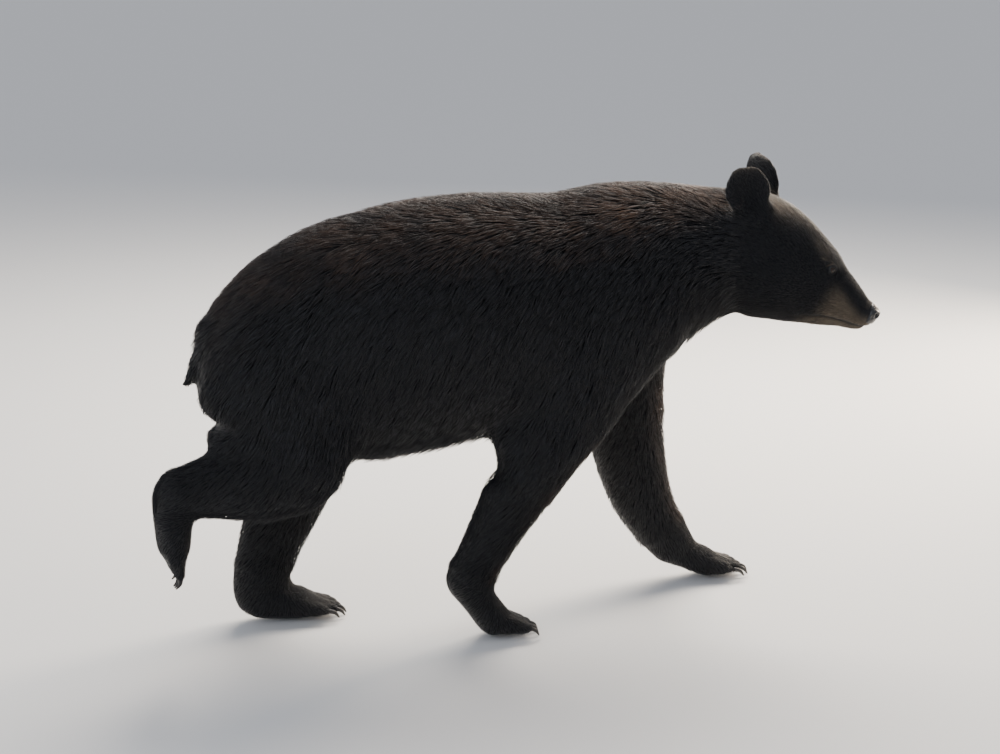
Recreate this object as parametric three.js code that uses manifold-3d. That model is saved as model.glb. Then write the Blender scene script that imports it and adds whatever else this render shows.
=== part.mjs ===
// A still, life-size model of a young adult American black bear in mid stride.
// Millimetres, +Z up, +X towards the nose, +Y to the bear's left. The paws stand on z = 0.
//
// The whole animal is one smooth field: a distance to the outside of its coat, below zero
// inside. Each named solid is that field meshed in its own zone and parted from its
// neighbours by flat cuts, so that the outline runs on unbroken from one solid to the next.

import * as THREE from 'three';
import { mergeVertices } from 'three/addons/utils/BufferGeometryUtils.js';
import Module from 'manifold-3d';

const wasm = await Module();
wasm.setup();

// ---- Driving dimensions ------------------------------------------------------------------

const CUT = 0.3; // width of every parting cut
const FAR = 1500; // reach of a cutting block, beyond the whole animal
const SPLINE_STEPS = 5; // lengths that a bent tube is divided into between two stations

// Trunk and neck: height of the back and of the underside, and half the width, along X.
// The neck's middle swings to the right, where the bear looks.
const TRUNK = [
  { x: -350, y: 0, top: 690, bottom: 446, half: 116 }, // rump
  { x: -290, y: 0, top: 776, bottom: 374, half: 164 },
  { x: -190, y: 0, top: 834, bottom: 357, half: 185 }, // loin and flank
  { x: -80, y: 0, top: 860, bottom: 367, half: 196 },
  { x: 30, y: 0, top: 872, bottom: 386, half: 200 }, // belly
  { x: 130, y: 0, top: 867, bottom: 407, half: 191 },
  { x: 220, y: 0, top: 862, bottom: 434, half: 178 }, // dip behind the withers
  { x: 315, y: 0, top: 878, bottom: 474, half: 172 }, // withers
  { x: 390, y: 0, top: 880, bottom: 528, half: 154 },
  { x: 460, y: -6, top: 870, bottom: 572, half: 134 }, // neck
  { x: 530, y: -18, top: 860, bottom: 601, half: 118 },
  { x: 600, y: -36, top: 844, bottom: 614, half: 106 }, // nape
];

// Head: an own frame, its origin midway between the ears. It is turned to the right and
// bowed, and its stations run from the nape to the lips.
const HEAD = { x: 640, y: -50, z: 812, turn: -31, bow: 30 };
const SKULL = [
  { x: -10, top: 22, bottom: -200, half: 76 },
  { x: 45, top: 34, bottom: -196, half: 84 }, // crown
  { x: 98, top: 23, bottom: -181, half: 80 },
  { x: 138, top: 7, bottom: -162, half: 69 }, // brow
  { x: 168, top: -7, bottom: -150, half: 57 },
  { x: 202, top: -17, bottom: -133, half: 47 }, // bridge of the muzzle
  { x: 236, top: -31, bottom: -118, half: 40 },
  { x: 260, top: -41, bottom: -108, half: 35 }, // lips
];
const CHEEK = { x: 74, y: 52, z: -92, long: 66, wide: 46, high: 64 };
const BROW = { x: 148, y: 32, z: -15, long: 30, wide: 22, high: 16 };
const MUZZLE_LOBE = { x: 242, y: 17, z: -86, long: 33, wide: 23, high: 23 };
const NOSE = { x: 275, z: -59, long: 20, wide: 23, high: 17, cut: 266, low: -78 };
const NOSE_BLOCK = { long: 60, wide: 90, high: 80 }; // block that parts the nose off
const EYE = { x: 166, y: 41, z: -20, radius: 12 };
const ORBIT = { x: 169, y: 55, z: -20, long: 19, deep: 10, high: 13 }; // hollow that it sits in
const EAR = { back: 25, y: 91, up: 44, half: 54, high: 60, thick: 12, face: 45, lean: 12 };
const EAR_CUP = { ahead: 13, half: 39, high: 48, thick: 13 };
const EAR_CUT = { under: 27, ahead: 9, thick: 58, wide: 118, high: 130 }; // block that parts an ear off

// Flesh at the back of the lifted thigh, bunched up as the leg swings forward.
const HAUNCH = { x: -426, y: -84, z: 476, long: 57, wide: 62, high: 74 };
const TAIL = { root: [-486, 0, 628], tip: [-520, 0, 530], thick: 24, thin: 15 };
const TAIL_BLOCK = { over: 50, wide: 64, deep: 80, sunk: 4 }; // block that parts the tail off

// Legs: joints from the trunk down, each with its place, half depth and half width. The knee
// or elbow and the wrist or hock are parted at a share of the way down, and the wrist's cut
// faces up the limb along its normal.
const LEGS = [
  {
    name: 'fore_left', // planted far ahead
    joints: [
      { at: [410, 112, 636], deep: 98, wide: 76 }, // shoulder
      { at: [402, 128, 445], deep: 92, wide: 64 }, // elbow
      { at: [418, 128, 290], deep: 80, wide: 56 },
      { at: [452, 122, 172], deep: 66, wide: 50 },
      { at: [508, 114, 84], deep: 47, wide: 45 }, // wrist
    ],
    elbow: 0.34,
    wrist: { share: 0.9, normal: [-0.5, 0, 0.87] },
    heel: { at: [528, 112, 62], deep: 30, wide: 38 },
    ball: { at: [584, 108, 33], deep: 33, wide: 46 },
    toe: { at: [655, 103, 17], dorsal: [0.12, 0, 1] },
  },
  {
    name: 'fore_right', // left behind, its heel lifting
    joints: [
      { at: [325, -112, 622], deep: 112, wide: 76 },
      { at: [170, -136, 414], deep: 88, wide: 62 },
      { at: [94, -130, 288], deep: 66, wide: 54 },
      { at: [45, -120, 195], deep: 54, wide: 47 },
      { at: [10, -114, 128], deep: 46, wide: 44 },
    ],
    elbow: 0.4,
    wrist: { share: 0.92, normal: [0.36, 0, 0.93] },
    heel: { at: [19, -112, 98], deep: 34, wide: 38 },
    ball: { at: [60, -109, 36], deep: 35, wide: 46 },
    toe: { at: [128, -105, 17], dorsal: [0.12, 0, 1] },
  },
  {
    name: 'hind_left', // planted, carrying the hindquarters
    joints: [
      { at: [-350, 92, 522], deep: 145, wide: 80 }, // hip
      { at: [-246, 124, 405], deep: 92, wide: 66 }, // knee
      { at: [-300, 118, 262], deep: 82, wide: 56 },
      { at: [-350, 108, 150], deep: 66, wide: 46 },
      { at: [-366, 100, 96], deep: 55, wide: 42 }, // hock
    ],
    elbow: 0.38,
    wrist: { share: 0.86, normal: [0.1, 0, 0.99] },
    heel: { at: [-378, 98, 52], deep: 42, wide: 36 },
    ball: { at: [-290, 92, 33], deep: 34, wide: 47 },
    toe: { at: [-221, 88, 17], dorsal: [0.1, 0, 1] },
  },
  {
    name: 'hind_right', // swinging forward, the foot hanging from the hock
    joints: [
      { at: [-362, -92, 508], deep: 147, wide: 82 },
      { at: [-326, -130, 402], deep: 103, wide: 70 },
      { at: [-420, -130, 366], deep: 78, wide: 58 },
      { at: [-500, -122, 360], deep: 59, wide: 48 },
      { at: [-548, -116, 352], deep: 47, wide: 42 },
    ],
    elbow: 0.44,
    wrist: { share: 0.9, normal: [0.8, 0, 0.6] },
    heel: { at: [-560, -114, 330], deep: 40, wide: 37 },
    ball: { at: [-562, -110, 250], deep: 33, wide: 45 },
    toe: { at: [-560, -106, 190], dorsal: [1, 0, -0.02] },
  },
];
const TOES = 5;
const TOE = { spacing: 18.5, splay: 1.12, deep: 14, wide: 11, shorter: 8, inner: 9 };
const CLAW = { length: 21, radius: 4, root: 8, drop: 62, rings: 3, sides: 5 };

// Blending radii, where one form runs into the next.
const BLEND = { limb: 44, head: 46, cheek: 30, brow: 14, ear: 20, paw: 22, toe: 7, tail: 14 };

// Meshing zones: their corners in the frame of the part that they hold, and the room left
// round a stretch of limb.
const ZONE = {
  trunk: [[-640, -260, 250], [610, 260, 960]],
  neck: [[360, -240, 440], [760, 210, 980]],
  head: [[-130, -150, -270], [330, 150, 130]],
  ear: [[-60, -90, -90], [60, 90, 100]],
  nose: [[-50, -60, -60], [50, 60, 60]],
};
const ROOM = { upper: 190, lower: 130, paw: 128, tail: 80, heel: 20 };

// Mesh size of each zone, along it, across it and through it.
const CELL = {
  trunk: [90, 50, 50],
  neck: [48, 40, 40],
  head: [27, 21, 21],
  ear: [10, 15, 15],
  nose: [13, 13, 13],
  tail: [20, 15, 15],
  upper: [46, 34, 36],
  lower: [42, 26, 27],
  paw: [29, 12, 22],
};

// ---- Fields ------------------------------------------------------------------------------

const vec = (values) => new THREE.Vector3(...values); // from an array or another vector
const AXIS_Y = new THREE.Vector3(0, 1, 0);

// Least of two distances, rounded over the given radius where they meet.
function blend(a, b, radius) {
  const near = Math.max(radius - Math.abs(a - b), 0) / radius;
  return Math.min(a, b) - (near * near * radius) / 4;
}

// Distance from an ellipse of half axes deep and wide, for a point at (rest, lateral).
function ellipseDistance(rest, lateral, deep, wide) {
  const k0 = Math.hypot(rest / deep, lateral / wide);
  const k1 = Math.hypot(rest / (deep * deep), lateral / (wide * wide));
  return k1 < 1e-9 ? -Math.min(deep, wide) : (k0 * (k0 - 1)) / k1;
}

// A bent tube of changing oval section: stations of { at, deep, wide } joined by splines.
function bentTube(stations, lateral = AXIS_Y) {
  const curve = new THREE.CatmullRomCurve3(stations.map((s) => s.at), false, 'centripetal');
  const girth = new THREE.CatmullRomCurve3(
    stations.map((s, i) => new THREE.Vector3(s.deep, s.wide, i * 60)), false, 'centripetal',
  );
  const count = (stations.length - 1) * SPLINE_STEPS;
  const rings = Array.from({ length: count + 1 }, (_, i) => ({
    at: curve.getPoint(i / count),
    girth: girth.getPoint(i / count),
  }));
  const axis = new THREE.Vector3();
  const out = new THREE.Vector3();
  return (p) => {
    let least = Infinity;
    for (let i = 0; i < count; i += 1) {
      const a = rings[i];
      const b = rings[i + 1];
      axis.subVectors(b.at, a.at);
      out.subVectors(p, a.at);
      const t = THREE.MathUtils.clamp(out.dot(axis) / axis.lengthSq(), 0, 1);
      out.addScaledVector(axis, -t);
      const side = out.dot(lateral);
      const rest = Math.sqrt(Math.max(out.lengthSq() - side * side, 0));
      const deep = THREE.MathUtils.lerp(a.girth.x, b.girth.x, t);
      const wide = THREE.MathUtils.lerp(a.girth.y, b.girth.y, t);
      least = Math.min(least, ellipseDistance(rest, side, deep, wide));
    }
    return least;
  };
}

// An ellipsoid in a frame of its own, given as the matrix that places it.
function ellipsoid(placing, halves) {
  const inverse = placing.clone().invert();
  const local = new THREE.Vector3();
  const squared = halves.clone().multiply(halves);
  return (p) => {
    local.copy(p).applyMatrix4(inverse);
    const k0 = Math.hypot(local.x / halves.x, local.y / halves.y, local.z / halves.z);
    const k1 = Math.hypot(local.x / squared.x, local.y / squared.y, local.z / squared.z);
    return k1 < 1e-9 ? -Math.min(halves.x, halves.y, halves.z) : (k0 * (k0 - 1)) / k1;
  };
}

// ---- Trunk, neck and head ------------------------------------------------------------------

const trunkField = bentTube(TRUNK.map(({ x, y, top, bottom, half }) => ({
  at: new THREE.Vector3(x, y, (top + bottom) / 2),
  deep: (top - bottom) / 2,
  wide: half,
})));

const headFrame = new THREE.Matrix4()
  .makeTranslation(HEAD.x, HEAD.y, HEAD.z)
  .multiply(new THREE.Matrix4().makeRotationZ(THREE.MathUtils.degToRad(HEAD.turn)));
const faceFrame = headFrame.clone()
  .multiply(new THREE.Matrix4().makeRotationY(THREE.MathUtils.degToRad(HEAD.bow)));
const headLeft = new THREE.Vector3(0, 1, 0).transformDirection(headFrame);
const inFace = (x, y, z) => new THREE.Vector3(x, y, z).applyMatrix4(faceFrame);
const facePlace = (x, y, z) => faceFrame.clone()
  .multiply(new THREE.Matrix4().makeTranslation(x, y, z));

const skullField = bentTube(SKULL.map(({ x, top, bottom, half }) => ({
  at: inFace(x, 0, (top + bottom) / 2),
  deep: (top - bottom) / 2,
  wide: half,
})), headLeft);

const faceLump = ({ x, y = 0, z, long, wide, high }, side = 1) => (
  ellipsoid(facePlace(x, y * side, z), new THREE.Vector3(long, wide, high))
);

// An ear stands up from the crown, leans outwards and back, and opens forwards and outwards.
function earPlace(side) {
  const { back, y, up, face, lean } = EAR;
  return headFrame.clone()
    .multiply(new THREE.Matrix4().makeTranslation(-back, side * y, up))
    .multiply(new THREE.Matrix4().makeRotationZ(THREE.MathUtils.degToRad(side * face)))
    .multiply(new THREE.Matrix4().makeRotationY(THREE.MathUtils.degToRad(-lean)));
}

function earField(side) {
  const place = earPlace(side);
  const shell = ellipsoid(place, new THREE.Vector3(EAR.thick, EAR.half, EAR.high));
  const cupPlace = place.clone()
    .multiply(new THREE.Matrix4().makeTranslation(EAR_CUP.ahead, 0, -2));
  const cup = ellipsoid(cupPlace, new THREE.Vector3(EAR_CUP.thick, EAR_CUP.half, EAR_CUP.high));
  return (p) => -blend(-shell(p), cup(p), 6);
}

const faceParts = [
  { field: faceLump(CHEEK, 1), radius: BLEND.cheek },
  { field: faceLump(CHEEK, -1), radius: BLEND.cheek },
  { field: faceLump(BROW, 1), radius: BLEND.brow },
  { field: faceLump(BROW, -1), radius: BLEND.brow },
  { field: faceLump(MUZZLE_LOBE, 1), radius: BLEND.brow },
  { field: faceLump(MUZZLE_LOBE, -1), radius: BLEND.brow },
  { field: faceLump(NOSE), radius: BLEND.toe },
  { field: earField(1), radius: BLEND.ear },
  { field: earField(-1), radius: BLEND.ear },
];

const haunchField = ellipsoid(
  new THREE.Matrix4().makeTranslation(HAUNCH.x, HAUNCH.y, HAUNCH.z),
  new THREE.Vector3(HAUNCH.long, HAUNCH.wide, HAUNCH.high),
);

const tailField = bentTube([
  { at: vec(TAIL.root), deep: TAIL.thick, wide: TAIL.thick },
  { at: vec(TAIL.tip), deep: TAIL.thin, wide: TAIL.thin },
]);

// ---- Legs and paws -------------------------------------------------------------------------

// Directions of a paw: forward along the toes, up through its back, and to the bear's left.
function pawFrame(leg) {
  const forward = vec(leg.toe.at).sub(vec(leg.ball.at)).normalize();
  const dorsal = vec(leg.toe.dorsal);
  const left = new THREE.Vector3().crossVectors(dorsal, forward).normalize();
  const up = new THREE.Vector3().crossVectors(forward, left);
  return { forward, left, up };
}

// Toe centres at the root and the tip. The inner toe is the shortest and the middle one the
// longest, and the row fans out slightly towards the tips.
function toeLine(leg, index) {
  const { forward, left } = pawFrame(leg);
  const inward = vec(leg.ball.at).y > 0 ? -1 : 1;
  const across = (index - (TOES - 1) / 2) * TOE.spacing;
  const steps = Math.abs(index - (TOES - 1) / 2);
  const short = TOE.shorter * steps * 0.7 + (index === TOES - 1 ? TOE.inner : 0);
  const root = vec(leg.ball.at).addScaledVector(left, inward * across * 0.8);
  const tip = vec(leg.toe.at).addScaledVector(left, inward * across * TOE.splay)
    .addScaledVector(forward, -short);
  return { root, tip };
}

function legField(leg) {
  const limb = bentTube(leg.joints.map(({ at, deep, wide }) => ({ at: vec(at), deep, wide })));
  const { left } = pawFrame(leg);
  const wrist = leg.joints[leg.joints.length - 1];
  const sole = bentTube([
    { at: vec(wrist.at), deep: wrist.deep * 0.8, wide: wrist.wide * 0.9 },
    { at: vec(leg.heel.at), deep: leg.heel.deep, wide: leg.heel.wide },
    { at: vec(leg.ball.at), deep: leg.ball.deep, wide: leg.ball.wide },
  ], left);
  const toes = Array.from({ length: TOES }, (_, i) => {
    const { root, tip } = toeLine(leg, i);
    return bentTube([
      { at: root, deep: TOE.deep + 8, wide: TOE.wide + 1 },
      { at: tip, deep: TOE.deep, wide: TOE.wide },
    ], left);
  });
  return (p) => {
    let paw = sole(p);
    for (const toe of toes) paw = blend(paw, toe(p), BLEND.toe);
    return blend(limb(p), paw, BLEND.paw);
  };
}

const legFields = LEGS.map(legField);

// The whole animal.
function bear(p) {
  let body = blend(trunkField(p), skullField(p), BLEND.head);
  for (const { field, radius } of faceParts) body = blend(body, field(p), radius);
  for (const field of legFields) body = blend(body, field(p), BLEND.limb);
  body = blend(body, haunchField(p), BLEND.limb);
  return blend(body, tailField(p), BLEND.tail);
}

// ---- Meshing -------------------------------------------------------------------------------

// A cell's corners, and the pairs of them that its edges join.
const CORNERS = Array.from({ length: 8 }, (_, c) => [c & 1, (c >> 1) & 1, (c >> 2) & 1]);
const CELL_EDGES = CORNERS.flatMap((_, a) => (
  [1, 2, 4].filter((bit) => !(a & bit)).map((bit) => [a, a | bit])
));

// Moves a point onto the surface, along the field's slope.
function settle(field, p, reach) {
  const e = 0.5;
  const slope = new THREE.Vector3();
  const probe = new THREE.Vector3();
  for (let turn = 0; turn < 3; turn += 1) {
    const here = field(p);
    slope.set(
      field(probe.set(p.x + e, p.y, p.z)) - here,
      field(probe.set(p.x, p.y + e, p.z)) - here,
      field(probe.set(p.x, p.y, p.z + e)) - here,
    ).divideScalar(e);
    const step = THREE.MathUtils.clamp(-here / Math.max(slope.lengthSq(), 0.3), -reach, reach);
    p.addScaledVector(slope, step);
  }
}

// Groups of a cell's corners that lie inside and are joined by its edges, as lists of corners.
function insideGroups(at) {
  const groups = at.flatMap((value, corner) => (value < 0 ? [[corner]] : []));
  for (const [a, b] of CELL_EDGES) {
    const first = groups.findIndex((group) => group.includes(a));
    const second = groups.findIndex((group) => group.includes(b));
    if (first >= 0 && second >= 0 && first !== second) {
      groups[first].push(...groups[second]);
      groups.splice(second, 1);
    }
  }
  return groups;
}

// Closed mesh of a field inside a box of the given frame: in each cell that the surface passes
// through, a vertex for each group of inside corners, and a quad round each grid edge that the
// surface crosses.
function meshField(field, { frame, box }, [dx, dy, dz]) {
  const world = new THREE.Vector3();
  const closed = (p) => Math.max(
    field(world.copy(p).applyMatrix4(frame)),
    box.min.x + dx - p.x, p.x - box.max.x + dx,
    box.min.y + dy - p.y, p.y - box.max.y + dy,
    box.min.z + dz - p.z, p.z - box.max.z + dz,
  );
  const cell = new THREE.Vector3(dx, dy, dz);
  const n = box.getSize(new THREE.Vector3()).divide(cell).toArray().map((c) => Math.ceil(c) + 2);
  const stride = [1, n[0], n[0] * n[1]];
  const gridPoint = (i, j, k) => new THREE.Vector3(i, j, k).multiply(cell).add(box.min);
  const values = new Float32Array(n[0] * n[1] * n[2]);
  for (let k = 0; k < n[2]; k += 1) {
    for (let j = 0; j < n[1]; j += 1) {
      for (let i = 0; i < n[0]; i += 1) {
        values[i + j * stride[1] + k * stride[2]] = closed(gridPoint(i, j, k));
      }
    }
  }

  const cellVertex = new Int32Array(8 * values.length).fill(-1); // of each corner of each cell
  const vertices = [];
  for (let k = 0; k < n[2] - 1; k += 1) {
    for (let j = 0; j < n[1] - 1; j += 1) {
      for (let i = 0; i < n[0] - 1; i += 1) {
        const base = i + j * stride[1] + k * stride[2];
        const at = CORNERS.map(([a, b, c]) => values[base + a + b * stride[1] + c * stride[2]]);
        for (const group of insideGroups(at)) {
          const crossings = CELL_EDGES
            .filter(([a, b]) => group.includes(a) !== group.includes(b))
            .map(([a, b]) => vec(CORNERS[a]).lerp(vec(CORNERS[b]), at[a] / (at[a] - at[b])));
          if (crossings.length > 0) {
            const mean = crossings.reduce((sum, c) => sum.add(c)).divideScalar(crossings.length);
            const p = gridPoint(i, j, k).add(mean.multiply(cell));
            settle(closed, p, Math.min(dx, dy, dz) / 4);
            for (const corner of group) cellVertex[8 * base + corner] = vertices.length;
            vertices.push(p);
          }
        }
      }
    }
  }

  const triangles = [];
  const addQuad = (quad, flip) => {
    const [a, b, c, d] = flip ? [...quad].reverse() : quad;
    if (vertices[a].distanceTo(vertices[c]) < vertices[b].distanceTo(vertices[d])) {
      triangles.push(a, b, c, a, c, d);
    } else {
      triangles.push(a, b, d, b, c, d);
    }
  };
  for (let k = 1; k < n[2] - 1; k += 1) {
    for (let j = 1; j < n[1] - 1; j += 1) {
      for (let i = 1; i < n[0] - 1; i += 1) {
        const base = i + j * stride[1] + k * stride[2];
        for (let axis = 0; axis < 3; axis += 1) {
          const inside = values[base] < 0;
          if (inside !== (values[base + stride[axis]] < 0)) {
            const u = (axis + 1) % 3;
            const v = (axis + 2) % 3;
            const end = inside ? 0 : 1 << axis;
            const quad = [[0, 0], [1, 0], [1, 1], [0, 1]].map(([du, dv]) => (
              cellVertex[8 * (base - du * stride[u] - dv * stride[v]) + (end | (du << u) | (dv << v))]
            ));
            addQuad(quad, !inside);
          }
        }
      }
    }
  }
  return solidFrom(vertices.flatMap((p) => p.applyMatrix4(frame).toArray()), triangles);
}

function solidFrom(positions, triangles) {
  return new wasm.Manifold(new wasm.Mesh({
    numProp: 3,
    vertProperties: new Float32Array(positions),
    triVerts: new Uint32Array(triangles),
  }));
}

// Geometry of the largest piece of a solid, without the crumbs that a slanting cut leaves.
function geometryFrom(solid) {
  const pieces = solid.decompose().sort((a, b) => b.volume() - a.volume());
  const mesh = pieces[0].getMesh();
  const geometry = new THREE.BufferGeometry();
  geometry.setAttribute('position', new THREE.BufferAttribute(mesh.vertProperties, 3));
  geometry.setIndex(new THREE.BufferAttribute(mesh.triVerts, 1));
  geometry.computeVertexNormals();
  return geometry;
}

// A three.js geometry with its matrix, as a solid that can cut.
function solidOf(geometry, matrix) {
  geometry.deleteAttribute('normal');
  geometry.deleteAttribute('uv');
  const merged = mergeVertices(geometry).applyMatrix4(matrix);
  return solidFrom(merged.attributes.position.array, merged.index.array);
}

// A block whose flat face lies on a plane, half a cut away from it, and which reaches from
// there along the normal (side 1) or against it (side -1).
function block({ at, normal }, side, spread = FAR, length = FAR) {
  const direction = vec(normal).normalize();
  const turn = new THREE.Quaternion().setFromUnitVectors(new THREE.Vector3(0, 0, 1), direction);
  const centre = vec(at).addScaledVector(direction, side * (length / 2 + CUT / 2));
  const matrix = new THREE.Matrix4().compose(centre, turn, new THREE.Vector3(1, 1, 1));
  return solidOf(new THREE.BoxGeometry(spread, spread, length), matrix);
}

// A frame whose X runs from one point towards another, with its Y as near to left as it can be.
function frameAlong(from, to, left = AXIS_Y) {
  const forward = to.clone().sub(from).normalize();
  const up = forward.clone().cross(left).normalize();
  const side = up.clone().cross(forward);
  return new THREE.Matrix4().makeBasis(forward, side, up).setPosition(from);
}

// A meshing zone: the box from low to high in a frame.
const zoneIn = (frame, low, high) => ({ frame, box: new THREE.Box3(vec(low), vec(high)) });

// The zone round a stretch of limb, from one point to another, with room all about it.
function zoneAlong(from, to, room, left) {
  const length = from.distanceTo(to);
  return zoneIn(frameAlong(from, to, left), [-room, -room, -room], [length + room, room, room]);
}

// ---- Parting planes and zones ----------------------------------------------------------------

const NECK_CUT = { at: [462, 0, 700], normal: [0.98, 0, 0.19] };
const HEAD_CUT = { at: [592, -34, 700], normal: [0.95, -0.31, 0] };
const GROUND = { at: [0, 0, CUT / 2], normal: [0, 0, 1] };
const GIRTH = { at: [-90, 0, 0], normal: [1, 0, 0] }; // fore legs ahead of it, hind legs behind
const BREAST = { at: [536, 0, 0], normal: [1, 0, 0] }; // nothing ahead of it belongs to a leg
const FORE_TOP = { at: [412, 0, 493], normal: [-0.42, 0, 0.91] };
const HIND_TOP = { at: [-330, 0, 424], normal: [0.34, 0, 0.94] };
const UPRIGHT = new THREE.Matrix4();

const shifted = ({ at, normal }, by) => ({
  at: vec(at).addScaledVector(vec(normal).normalize(), by).toArray(),
  normal,
});

// Space of a pair of legs below the parting plane under the trunk.
function legsSpace(isFore, raise) {
  const under = block(shifted(isFore ? FORE_TOP : HIND_TOP, raise), -1);
  return under.intersect(block(GIRTH, isFore ? 1 : -1)).intersect(block(BREAST, -1));
}

// Space of one leg, on its own side of the midline.
function legSpace(leg) {
  const side = leg.joints[0].at[1] > 0 ? 1 : -1;
  return legsSpace(leg.name.startsWith('fore'), 0)
    .intersect(block({ at: [0, 0, 0], normal: [0, 1, 0] }, side));
}

function earSpace(side, grow) {
  const { under, ahead, thick, wide, high } = EAR_CUT;
  const shape = new THREE.BoxGeometry(thick + 2 * grow, wide + 2 * grow, high + grow);
  const place = earPlace(side)
    .multiply(new THREE.Matrix4().makeTranslation(ahead, 0, (high - grow) / 2 - under));
  return solidOf(shape, place);
}

function noseSpace(grow) {
  const { long, wide, high } = NOSE_BLOCK;
  const shape = new THREE.BoxGeometry(long + grow, wide, high + grow);
  return solidOf(shape, facePlace(NOSE.cut + (long - grow) / 2, 0, NOSE.low + (high - grow) / 2));
}

function tailSpace(grow) {
  const root = vec(TAIL.root);
  const tip = vec(TAIL.tip);
  const frame = frameAlong(root, tip);
  const length = root.distanceTo(tip);
  const { over, wide, deep, sunk } = TAIL_BLOCK;
  const shape = new THREE.BoxGeometry(length + over + 2 * grow, wide + 2 * grow, deep + grow);
  const back = new THREE.Matrix4().makeTranslation(length / 2 + sunk, 0, (deep - grow) / 2);
  return solidOf(shape, frame.multiply(back));
}

// ---- Solids ----------------------------------------------------------------------------------

const COAT = { color: 0x171310, roughness: 0.72 };
const BARE = { color: 0x0d0c0c, roughness: 0.38 };
const HORN = { color: 0x1d1916, roughness: 0.45 };
const GLOSS = { color: 0x120a06, roughness: 0.08 };

const group = new THREE.Group();

function addSolid(name, solid, { color, roughness }) {
  const material = new THREE.MeshStandardMaterial({ color, roughness, metalness: 0 });
  material.name = name;
  const mesh = new THREE.Mesh(geometryFrom(solid), material);
  mesh.name = name;
  group.add(mesh);
}

// A claw: rings along an arc that bends down from the toe, closed at the root and the point.
// Grown by the cut's width, it is the socket that it stands in.
function claw(tip, { forward, left, up }, grow) {
  const { length, radius, root, drop, rings, sides } = CLAW;
  const bend = THREE.MathUtils.degToRad(drop);
  const arc = length / bend;
  const start = tip.clone().addScaledVector(forward, TOE.wide - 2).addScaledVector(up, 4);
  const along = (distance) => {
    const angle = Math.max(distance, 0) / arc;
    return start.clone()
      .addScaledVector(forward, distance < 0 ? distance : arc * Math.sin(angle))
      .addScaledVector(up, -arc * (1 - Math.cos(angle)));
  };
  const positions = [];
  const triangles = [];
  for (let ring = 0; ring < rings; ring += 1) {
    const distance = ring === 0 ? -root - grow : (length * (ring - 0.5)) / rings;
    const thick = radius * Math.sqrt(1 - (Math.max(distance, 0) / length) * 0.9) + grow;
    for (let i = 0; i < sides; i += 1) {
      const angle = (i / sides) * Math.PI * 2;
      const p = along(distance)
        .addScaledVector(left, Math.cos(angle) * thick * 0.8)
        .addScaledVector(up, Math.sin(angle) * thick);
      positions.push(p.x, p.y, p.z);
    }
  }
  positions.push(...along(length + grow));
  for (let i = 1; i < sides - 1; i += 1) triangles.push(0, i + 1, i);
  for (let ring = 0; ring < rings; ring += 1) {
    for (let i = 0; i < sides; i += 1) {
      const a = ring * sides + i;
      const b = ring * sides + ((i + 1) % sides);
      if (ring < rings - 1) triangles.push(a, b, b + sides, a, b + sides, a + sides);
      else triangles.push(a, b, rings * sides);
    }
  }
  return solidFrom(positions, triangles);
}

// An eye, and the hollow in the face that its front shows in.
const ball = (radius) => new THREE.IcosahedronGeometry(radius, 1);
const eyeSolid = (side, radius) => solidOf(ball(radius), facePlace(EYE.x, side * EYE.y, EYE.z));
const orbitSolid = (side) => solidOf(
  ball(1).scale(ORBIT.long, ORBIT.deep, ORBIT.high),
  facePlace(ORBIT.x, side * ORBIT.y, ORBIT.z),
);

const SIDES = [{ side: 1, suffix: 'left' }, { side: -1, suffix: 'right' }];

function buildHead() {
  const headZone = zoneIn(faceFrame, ...ZONE.head);
  const neckZone = zoneIn(UPRIGHT, ...ZONE.neck);
  let head = meshField(bear, headZone, CELL.head).intersect(block(HEAD_CUT, 1));
  let neck = meshField(bear, neckZone, CELL.neck)
    .intersect(block(NECK_CUT, 1))
    .intersect(block(HEAD_CUT, -1))
    .subtract(legsSpace(true, CUT));
  for (const { side, suffix } of SIDES) {
    const ear = meshField(bear, zoneIn(earPlace(side), ...ZONE.ear), CELL.ear);
    addSolid(`ear_${suffix}`, ear.intersect(earSpace(side, 0)), COAT);
    addSolid(`eye_${suffix}`, eyeSolid(side, EYE.radius), GLOSS);
    head = head.subtract(earSpace(side, CUT))
      .subtract(orbitSolid(side))
      .subtract(eyeSolid(side, EYE.radius + CUT));
    neck = neck.subtract(earSpace(side, CUT));
  }
  const noseZone = zoneIn(facePlace(NOSE.x, 0, NOSE.z), ...ZONE.nose);
  addSolid('nose', meshField(bear, noseZone, CELL.nose).intersect(noseSpace(0)), BARE);
  addSolid('head', head.subtract(noseSpace(CUT)), COAT);
  addSolid('neck', neck, COAT);
}

function buildTrunk() {
  const trunkZone = zoneIn(UPRIGHT, ...ZONE.trunk);
  const tail = meshField(bear, zoneAlong(vec(TAIL.root), vec(TAIL.tip), ROOM.tail), CELL.tail);
  const trunk = meshField(bear, trunkZone, CELL.trunk)
    .intersect(block(NECK_CUT, -1))
    .subtract(legsSpace(true, CUT))
    .subtract(legsSpace(false, CUT));
  addSolid('trunk', trunk.subtract(tailSpace(CUT)), COAT);
  addSolid('tail', tail.intersect(tailSpace(0)), COAT);
}

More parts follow.
